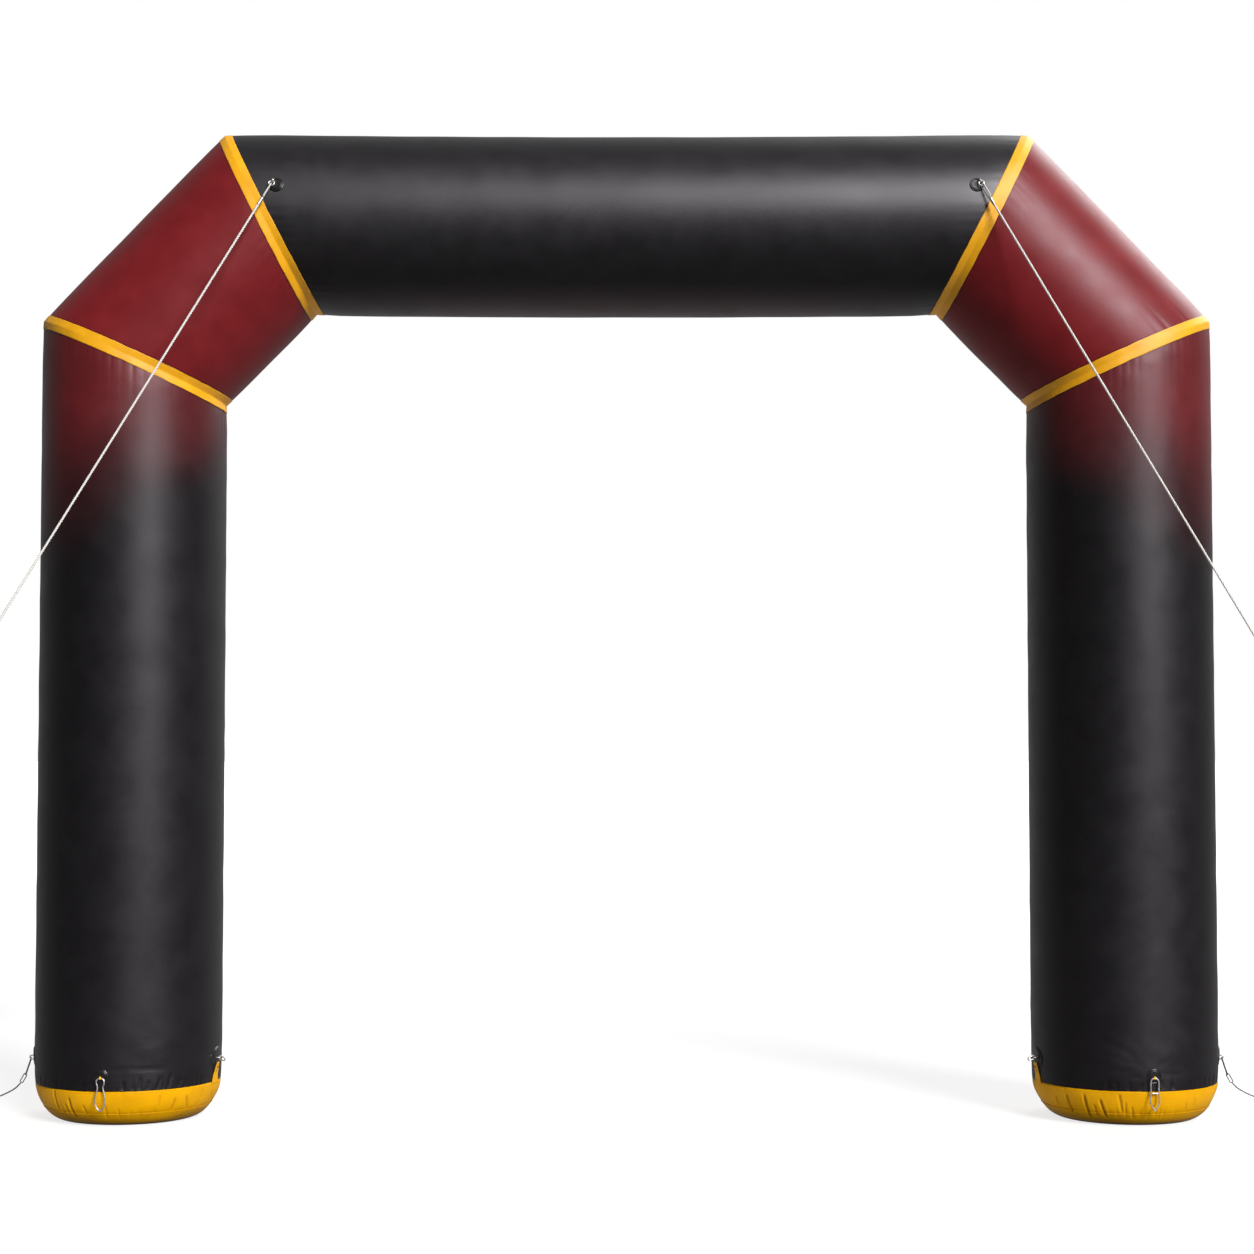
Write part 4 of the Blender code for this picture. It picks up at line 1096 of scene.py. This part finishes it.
def moulded_patch(name, seat, outline, profile, rise=0.0):
    """A moulded patch on a curved surface: rings from the rim to the middle, and a back that lies on it."""
    rings = [[seat.wrap(u * share, v * share + rise * (1 - share), GAP) for u, v in outline]
             for share in (0.25, 0.5, 0.75)]
    for share, height in profile:
        lift = rise * (1 - share)
        rings.append([seat.wrap(u * share, v * share + lift, height / 1000) for u, v in outline])
    count = len(outline)
    points = [point for ring in rings for point in ring]
    faces = grid_faces(len(rings), count)[0]
    back, front = len(points), len(points) + 1
    points += [seat.wrap(0, rise, GAP), seat.wrap(0, rise, profile[-1][1] / 1000)]
    last = (len(rings) - 1) * count
    for i in range(count):
        faces.append((back, (i + 1) % count, i))
        faces.append((front, last + i, last + (i + 1) % count))
    piece = mesh_piece(name, points, faces)
    face_outward(piece)
    finish_piece(piece, "black_patch", node=name.replace("_moulding", ""))


def sweep(name, path, section, closed=False, turn=None, caps=True):
    """A surface along a path. section(i) gives the outline at point i as (sideways, upwards, lay) rows."""
    count = len(path)
    way = []
    for i in range(count):
        before = path[i - 1] if closed or i else path[0]
        after = path[(i + 1) % count] if closed or i + 1 < count else path[-1]
        way.append((after - before).normalized())
    side = way[0].orthogonal().normalized() if turn is None else turn
    rings, lay = [], []
    for i in range(count):
        side = (side - way[i] * side.dot(way[i])).normalized()
        up = way[i].cross(side)
        for across, high, depth in section(i):
            rings.append(path[i] + side * across + up * high)
            lay.append(depth)
    size = len(rings) // count
    faces = grid_faces(count, size, closed)[0]
    if caps and not closed:
        for first, end in ((0, path[0]), ((count - 1) * size, path[-1])):
            hub = len(rings)
            rings.append(end)
            lay.append(1.0)
            for i in range(size):
                faces.append((hub, first + i, first + (i + 1) % size))
    piece = mesh_piece(name, rings, faces, attributes={"lay": lay})
    face_outward(piece)
    return piece


def steel_wire(name, path, diameter, node, closed=False):
    """Round drawn wire along a path, with rounded ends where it is open."""
    count = len(path)

    def section(i):
        end = min(i, count - 1 - i)
        radius = diameter / 2 * (1.0 if closed or end > 1 else (0.72, 0.94)[end])
        return [(radius * cos(pi * k / 8), radius * sin(pi * k / 8), 1.0) for k in range(16)]

    piece = sweep(name, path, section, closed)
    finish_piece(piece, "steel", node=node)
    return piece


def laid_rope(name, path, diameter, strands, lay_length, slot, node, closed=False, sides=6):
    """Twisted strands along a path: a fluted surface that turns as it goes."""
    count = len(path)
    long = sum((b - a).length for a, b in zip(path, path[1:])) + (path[0] - path[-1]).length * closed
    turns = long / lay_length
    if closed:
        turns = round(turns * strands) / strands
    size = strands * sides

    def section(i):
        twist = 2 * pi * turns * i / (count if closed else count - 1)
        rows = []
        for k in range(size):
            angle = 2 * pi * k / size
            bulge = abs(cos(strands / 2 * angle))
            radius = diameter / 2 * (0.80 + 0.20 * bulge ** 0.7)
            # The third value, the lay, is low in the grooves between strands, where the rope materials paint
            # shade
            rows.append((radius * cos(angle + twist), radius * sin(angle + twist), bulge))
        return rows

    piece = sweep(name, path, section, closed)
    finish_piece(piece, slot, node=node)
    return piece


def staple_route(foot, along, out, kind, count=25):
    """A half loop of wire on a patch, round the line through its foot along out."""
    width, reach = STAPLES[kind]
    route = []
    for i in range(count):
        turn = pi * i / (count - 1)
        across = (1 if cos(turn) > 0 else -1) * abs(cos(turn)) ** 0.6
        route.append(foot + along * (width / 2 * across) + out * (reach * abs(sin(turn)) ** 0.8))
    return route


def oval_route(centre, along, across, length, width, count=48):
    """A closed oval; length and width are those of its centreline."""
    radius = width / 2
    straight = max(0.0, length / 2 - radius)
    line = []
    for i in range(count + 1):
        turn = 2 * pi * i / count
        shift = straight if cos(turn) > 0 else -straight
        line.append(centre + along * (shift + radius * cos(turn)) + across * (radius * sin(turn)))
    return even_points(line, count, closed=True)


def crimped_sleeve(name, start, along, length, inner, outer, node):
    """A pressed steel sleeve with three crimp grooves."""
    steps = 40
    path = [start + along * (length * i / steps) for i in range(steps + 1)]

    def section(i):
        share = i / steps
        groove = sum(exp(-((share - place) / 0.055) ** 2) for place in CRIMPS)
        edge = 0.25 * (exp(-share / 0.03) + exp(-(1 - share) / 0.03))
        wall = (outer - inner) * (1 - 0.45 * groove - edge)
        return [((inner + wall) * cos(pi * k / 12), (inner + wall) * sin(pi * k / 12), 1.0) for k in range(24)]

    piece = sweep(name, path, section, caps=False)
    thicken(piece, (outer - inner) * 0.5)
    finish_piece(piece, "steel", node=node)
    return piece


def guy_hold(word):
    """Seat and eye of one guy rope, and the ways out of the beam, along the pull and across both."""
    side = SIDES[word]
    seat = BeamSeat(side * GUY_PATCH_X, GUY_PATCH_TURN)
    out = seat.out()
    eye = seat.at(side * GUY_EYE_OFFSET, 0.0, GUY_EYE_OUT)
    pull = (Vector(GUY_PEG[word]) - eye).normalized()
    return seat, eye, out, pull, out.cross(pull).normalized()


def guy_line(word):
    """Rope, loops and sleeve of one guy rope."""
    eye, out, pull, across = guy_hold(word)[1:]
    tilt = radians(GUY_LOOP_TILT[word])
    loop_across = (out * cos(tilt) + across * sin(tilt)).normalized()
    loop_start = eye + pull * (GUY_EYE_RADIUS - GUY_EYE_WIRE / 2 - GUY_LOOP_WIRE / 2 - 2 * GAP)

    def loop_rope(name, middle, node):
        """A spliced loop of rope round a point on the line of pull."""
        route = oval_route(middle, pull, loop_across, GUY_LOOP_LENGTH, GUY_LOOP_WIDTH, 110)
        return laid_rope(name + word, route, GUY_LOOP_WIRE, GUY_STRANDS, GUY_LOOP_LAY, "white_rope",
                         node + word, closed=True)

    loop = loop_rope("guy_loop_rope_", loop_start + pull * (GUY_LOOP_LENGTH / 2), "guy_loop_")
    start = loop_start + pull * (GUY_LOOP_LENGTH + GUY_LOOP_WIRE / 2 + GAP)
    length = GUY_ROPE_LENGTH[word]
    rings = 620
    path = [start + pull * (length * i / rings) for i in range(rings + 1)]
    rope = laid_rope("guy_line_" + word, path, GUY_ROPE_DIAMETER, GUY_STRANDS, GUY_ROPE_LAY, "white_rope",
                     "guy_rope_" + word)
    inner = GUY_ROPE_DIAMETER / 2 + 2 * GAP
    sleeve = crimped_sleeve("guy_ferrule_" + word, start + pull * 0.001, pull, GUY_SLEEVE_LENGTH, inner,
                            inner + GUY_SLEEVE_WALL, "guy_sleeve_" + word)
    end = start + pull * (length + GUY_LOOP_WIRE / 2 + GAP + GUY_LOOP_LENGTH / 2)
    end_loop = loop_rope("guy_end_rope_", end, "guy_end_")
    [tuple(p) for p in path[::4]]


def tether(word):
    """Wire tether of one foot: its end loop, the long eye, the cord and the ring that ends it."""
    side = SIDES[word]
    seat = side_seat(word, "outer", SIDE_STAPLE_TURN, SIDE_STAPLE_Z)
    out = seat.out()
    foot = seat.at(0, 0, STAPLE_FOOT)
    width, reach = STAPLES["outer"]
    hold = foot + out * (reach * 0.55) - UP * (width / 2)
    loop_top = hold + UP * (STAPLE_WIRE / 2 + TETHER_LOOP_WIRE / 2 + TETHER_LOOP_PLAY)
    start = Vector((side * TETHER_ROUTE[0][0], TETHER_Y, TETHER_ROUTE[0][1]))
    eye_high = Vector((side * TETHER_EYE_X, TETHER_Y, TETHER_EYE_Z))
    eye_low = start + (eye_high - start).normalized() * (TETHER_LOOP_WIRE / 2 + 3 * GAP)
    along = (eye_high - loop_top).normalized()
    loop_end = eye_high + along * (TETHER_LOOP_WIRE + 2 * GAP)
    across = along.cross(Vector((side, 0.0, 0.0))).normalized()
    laid_rope("tether_loop_wire_" + word,
              oval_route((loop_top + loop_end) / 2, along, across, (loop_end - loop_top).length,
                         TETHER_LOOP_WIDTH, 110),
              TETHER_LOOP_WIRE, WIRE_STRANDS, WIRE_LOOP_LAY, "wire_rope", "tether_loop_" + word,
              closed=True, sides=4)
    eye_along = (eye_low - eye_high).normalized()
    eye = laid_rope("tether_eye_wire_" + word,
                    oval_route((eye_low + eye_high) / 2, eye_along, eye_along.cross(Vector((0.0, 1.0, 0.0))),
                               (eye_low - eye_high).length, TETHER_LOOP_WIDTH, 80),
                    TETHER_LOOP_WIRE, WIRE_STRANDS, WIRE_LOOP_LAY, "wire_rope", "tether_eye_" + word,
                    closed=True, sides=4)
    path = smooth_route([(side * x, TETHER_Y, z) for x, z in TETHER_ROUTE], 220)
    cord = laid_rope("tether_cord_" + word, path, TETHER_DIAMETER, WIRE_STRANDS, TETHER_LAY, "wire_rope",
                     "tether_" + word, sides=4)
    end_x = TETHER_ROUTE[-1][0] + TETHER_END_RADIUS + TETHER_END_WIRE / 2 + GAP
    centre = Vector((side * end_x, TETHER_Y, TETHER_END_WIRE / 2 + GAP))
    ring = steel_wire("tether_ring_" + word, oval_route(centre, Vector((1, 0, 0)), Vector((0, 1, 0)),
                                                        2 * TETHER_END_RADIUS, 2 * TETHER_END_RADIUS),
                      TETHER_END_WIRE, "tether_end_" + word, closed=True)
    length = sum((b - a).length for a, b in zip(path, path[1:]))
    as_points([tuple(p) for p in path[::4]] + [tuple(path[-1])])
    steel_wire("outer_staple_wire_" + word, staple_route(foot, UP, out, "outer"), STAPLE_WIRE,
               "outer_staple_" + word)


def guy_fixing(word):
    """Moulded patch, staple and eye of one guy rope."""
    seat, eye, out, _, across = guy_hold(word)
    outline = [(GUY_PATCH_RADIUS * cos(2 * pi * i / 72), GUY_PATCH_RADIUS * sin(2 * pi * i / 72))
               for i in range(72)]
    moulded_patch("guy_patch_moulding_" + word, seat, outline, ROUND_PATCH)
    flat_pull = across.cross(out)
    steel_wire("guy_eye_ring_" + word, oval_route(eye, flat_pull, across, 2 * GUY_EYE_RADIUS,
                                                  2 * GUY_EYE_RADIUS), GUY_EYE_WIRE, "guy_eye_" + word,
               closed=True)
    foot = eye - flat_pull * (GUY_EYE_RADIUS + GUY_STAPLE_BACK) + out * (STAPLE_FOOT - GUY_EYE_OUT)
    steel_wire("guy_staple_wire_" + word, staple_route(foot, flat_pull, out, "guy"), STAPLE_WIRE,
               "guy_staple_" + word)


def front_fixing(word):
    """Patch, webbing loop and hook on the front of one foot."""
    side = SIDES[word]
    seat = LegSeat(side, -90 + side * FRONT_TURN[word], FRONT_PATCH_Z)
    moulded_patch("front_patch_moulding_" + word, seat, arch_outline(FRONT_PATCH_SIZE, 84), ARCH_PATCH)
    top = HOOK_TOP_Z - FRONT_PATCH_Z
    webbing_loop(word, seat, top)
    rows = HOOK_SHAPE[word]
    outline = [(half, top - drop) for drop, half in rows]
    outline += [(-half, top - drop) for drop, half in reversed(rows[1:-1])]
    path = smooth_route([seat.at(u, v, HOOK_OUT) for u, v in outline], 150, closed=True)
    steel_wire("front_hook_wire_" + word, path, HOOK_WIRE, "front_hook_" + word, closed=True)
    if word == "right":
        reach = HOOK_BAR_HALF - HOOK_WIRE / 2 - GAP
        ends = [seat.at(u, top - HOOK_BAR_DROP, HOOK_OUT) for u in (-reach, reach)]
        path = [ends[0].lerp(ends[1], i / 14) for i in range(15)]
        steel_wire("front_hook_crossbar_right", path, HOOK_BAR_WIRE, "front_hook_bar_right")


def webbing_loop(word, seat, height):
    """The small flat loop that holds a hook."""
    half = HOOK_WIRE / 2 + WEBBING_HALF_THICKNESS + WEBBING_PLAY
    reach = HOOK_OUT + half - STAPLE_FOOT
    steps = 30
    path = []
    for step in range(steps + 1):
        turn = pi * step / steps - pi / 2
        rise = abs(sin(turn)) ** 0.5 * (1 if turn > 0 else -1)
        path.append(seat.at(0.0, height + half * rise, STAPLE_FOOT + reach * cos(turn)))
    wide, thick = WEBBING_HALF_WIDTH, WEBBING_HALF_THICKNESS
    outline = [(wide, -0.6 * thick), (wide, 0.6 * thick), (0.9 * wide, thick), (-0.9 * wide, thick),
               (-wide, 0.6 * thick), (-wide, -0.6 * thick), (-0.9 * wide, -thick), (0.9 * wide, -thick)]
    piece = sweep("front_loop_webbing_" + word, path, lambda i: [(u, v, 0.0) for u, v in outline],
                  turn=seat.around())
    finish_piece(piece, "yellow_webbing", node="front_loop_" + word)


def inner_fixing(word):
    """Patch, staple, link, ring and strap on the inner side of one foot."""
    side_patch(word, "inner")
    seat = side_seat(word, "inner", SIDE_STAPLE_TURN, SIDE_STAPLE_Z)
    around, out = seat.around(), seat.out()
    foot = seat.at(0, 0, STAPLE_FOOT)
    steel_wire("inner_staple_wire_" + word, staple_route(foot, around, out, "inner"), STAPLE_WIRE,
               "inner_staple_" + word)
    bar = foot + out * STAPLES["inner"][1]
    slope = radians(LINK_SLOPE)
    along = out * cos(slope) - UP * sin(slope)
    inset = STAPLE_WIRE / 2 + LINK_WIRE / 2 + 2 * GAP
    centre = bar + around * LINK_SHIFT + along * (LINK_LENGTH / 2 - inset)
    steel_wire("inner_link_wire_" + word, oval_route(centre, along, along.cross(around), LINK_LENGTH,
                                                     LINK_WIDTH), LINK_WIRE, "inner_link_" + word, closed=True)
    low = seat.at(-LINK_SHIFT, RING_LOW_Z - SIDE_STAPLE_Z, RING_LOW_OUT)
    high = bar - around * LINK_SHIFT + UP * (STAPLE_WIRE / 2 + RING_WIRE / 2 + 2 * GAP)
    ring_along = (high - low).normalized()
    laid_rope("inner_ring_wire_" + word, oval_route((low + high) / 2, ring_along, ring_along.cross(around),
                                                    (high - low).length, RING_WIDTH, 90),
              RING_WIRE, WIRE_STRANDS, SMALL_RING_LAY, "wire_rope", "inner_ring_" + word, closed=True, sides=4)
    strap(word, side_seat(word, "inner", STRAP_TURN, SIDE_STAPLE_Z))


def side_seat(word, kind, turn, height):
    """A seat on the inner or outer side of one foot, turned some degrees towards the front."""
    faces_right = (word == "left") == (kind == "inner")
    return LegSeat(SIDES[word], -turn if faces_right else 180.0 + turn, height, -1 if faces_right else 1)


def side_patch(word, kind):
    """The wide patch on the inner or outer side of one foot."""
    moulded_patch(kind + "_patch_moulding_" + word, side_seat(word, kind, SIDE_PATCH_TURN, SIDE_PATCH_Z),
                  arch_outline(SIDE_PATCH_SIZE, 110), ARCH_PATCH, SIDE_PATCH_RISE)


def strap(word, seat):
    """The tapered yellow strap with a bound slot."""
    low, high = STRAP_EDGE[0][0], STRAP_EDGE[-1][0]
    slot_low, slot_high = STRAP_SLOT_Z

    def lift(z):
        share = max(0.0, (z - STRAP_FREE_Z) / (high - STRAP_FREE_Z))
        return 2 * GAP + STRAP_LEAN * share

    edge = [Vector((half, z)) for z, half in STRAP_EDGE]
    edge += [Vector((-half, z)) for z, half in reversed(STRAP_EDGE)]
    edge.append(edge[0].copy())
    outline = even_points(edge, 120, closed=True)
    middle = (slot_low + slot_high) / 2
    hole = []
    for point in outline:
        share = (point.y - low) / (high - low)
        u = max(-STRAP_SLOT_HALF, min(STRAP_SLOT_HALF, point.x))
        hole.append(Vector((u, slot_low + (slot_high - slot_low) * share)))
    rings = []
    for share, depth in ((0.0, 0.1), (0.0, 0.55), (0.02, 0.9), (0.06, 1.0), (0.35, 1.0), (0.7, 1.0),
                         (0.93, 1.05), (0.98, 0.9), (1.0, 0.5), (1.0, 0.1), (0.9, 0.0), (0.5, 0.0),
                         (0.1, 0.0)):
        ring = []
        for one, two in zip(outline, hole):
            point = one.lerp(two, share)
            ring.append(seat.wrap(point.x, point.y - seat.height, lift(point.y) + STRAP_THICKNESS * depth))
        rings.append(ring)
    points = [point for ring in rings for point in ring]
    faces, corners = grid_faces(len(rings), len(outline), closed_rows=True)
    flat = [(p.x, p.z + p.y) for p in points]
    uv = [flat[corner] for face in faces for corner in face]
    piece = mesh_piece("inner_strap_tab_" + word, points, faces, uv, {"seam": [0.0] * len(points)})
    face_outward(piece)
    finish_piece(piece, "yellow_fabric", node="inner_strap_" + word)


def dress_tubes():
    """Skins and tapes of the whole arch."""
    seams = {word: seams_of(side) for word, side in SIDES.items()}
    beam_left, beam_right = seams["left"][2], seams["right"][2]
    tube_skin("beam_skin", "beam_tube", beam_left, beam_right, "black_fabric", beam_relief, beam_fade,
              material="beam_fabric")
    for word, side in SIDES.items():
        ground, knee, shoulder = seams[word]
        seed = 11 if side < 0 else 23
        tube_skin("leg_skin_" + word, "leg_tube_" + word, ground, knee, "leg_fabric",
                  leg_relief(side, seed), leg_fade(side), FOOT_ROWS)
        tube_skin("corner_skin_" + word, "corner_tube_" + word, knee, shoulder, "maroon_fabric",
                  corner_relief(seed + 30))
        seam_tape("knee_tape_" + word, "knee_band_" + word, ground, knee, shoulder)
        seam_tape("shoulder_tape_" + word, "shoulder_band_" + word, knee, shoulder,
                  beam_right if side < 0 else beam_left)
        foot_base(word)


def add_floor():
    """A plain pale studio floor; only the rings round the feet throw light back, as on a large dark stage."""
    bpy.ops.mesh.primitive_plane_add(size=FLOOR_SIZE, location=(0.0, 0.0, -FLOOR_DROP))
    floor = bpy.context.object
    floor.name = "floor"
    floor.visible_diffuse = False
    made, tree, shader = new_material("studio_floor")
    place = add_node(tree, "ShaderNodeTexCoord").outputs["Object"]
    away = add_node(tree, "ShaderNodeVectorMath", {0: place}, operation="LENGTH")
    glow = add_node(tree, "ShaderNodeMapRange", {
        "Value": away.outputs["Value"], "From Min": FLOOR_REACH[0], "From Max": FLOOR_REACH[1],
        "To Min": FLOOR_GLOW[0], "To Max": FLOOR_GLOW[1]}, interpolation_type="SMOOTHSTEP")
    feed(tree, shader, {"Base Color": (FLOOR_TONE, FLOOR_TONE, FLOOR_TONE, 1.0), "Roughness": 0.9,
                        "Emission Color": (1.0, 1.0, 1.0, 1.0), "Emission Strength": glow.outputs["Result"]})
    pieces = [floor]
    turns = ring_angles(96)
    for word, side in SIDES.items():
        points = [(side * LEG_X + radius * cos(turn), radius * sin(turn), -FLOOR_DROP * 2 / 3)
                  for radius in LIT_FLOOR for turn in turns]
        ring = mesh_piece("floor_" + word, points, [face[::-1] for face in grid_faces(2, len(turns))[0]])
        pieces.append(ring)
    for piece in pieces:
        piece.visible_glossy = False
        piece.data.materials.append(made)


def add_lights():
    """Large soft lights, and a white surround that the camera sees as the backdrop."""
    for name, (side, height, width, strength) in LIGHTS.items():
        data = bpy.data.lights.new(name, "SUN")
        data.energy = strength
        data.angle = radians(width)
        lamp = bpy.data.objects.new(name, data)
        lamp.rotation_euler = (radians(90 - height), 0.0, radians(side))
        bpy.context.scene.collection.objects.link(lamp)
    world = bpy.data.worlds.new("white_studio")
    world.use_nodes = True
    bpy.context.scene.world = world
    tree = world.node_tree
    sky = tree.nodes["Background"]
    way = add_node(tree, "ShaderNodeTexCoord").outputs["Generated"]
    back = add_node(tree, "ShaderNodeSeparateXYZ", {"Vector": way}).outputs["Y"]
    light = add_node(tree, "ShaderNodeMapRange", {"Value": back, "From Min": -0.1, "From Max": 0.85,
                                                  "To Min": SURROUND_LIGHT[0], "To Max": SURROUND_LIGHT[1]})
    seen = add_node(tree, "ShaderNodeLightPath").outputs["Is Camera Ray"]
    strength = add_node(tree, "ShaderNodeMapRange", {"Value": seen, "To Min": light.outputs["Result"],
                                                     "To Max": 1.0})
    feed(tree, sky, {"Color": (1.0, 1.0, 1.0, 1.0), "Strength": strength.outputs["Result"]})


add_camera()
for which in SIDES:
    guy_line(which)
    tether(which)
dress_tubes()
for which in SIDES:
    guy_fixing(which)
    front_fixing(which)
    inner_fixing(which)
    side_patch(which, "outer")
add_floor()
add_lights()
bpy.context.scene.view_settings.view_transform = "Standard"
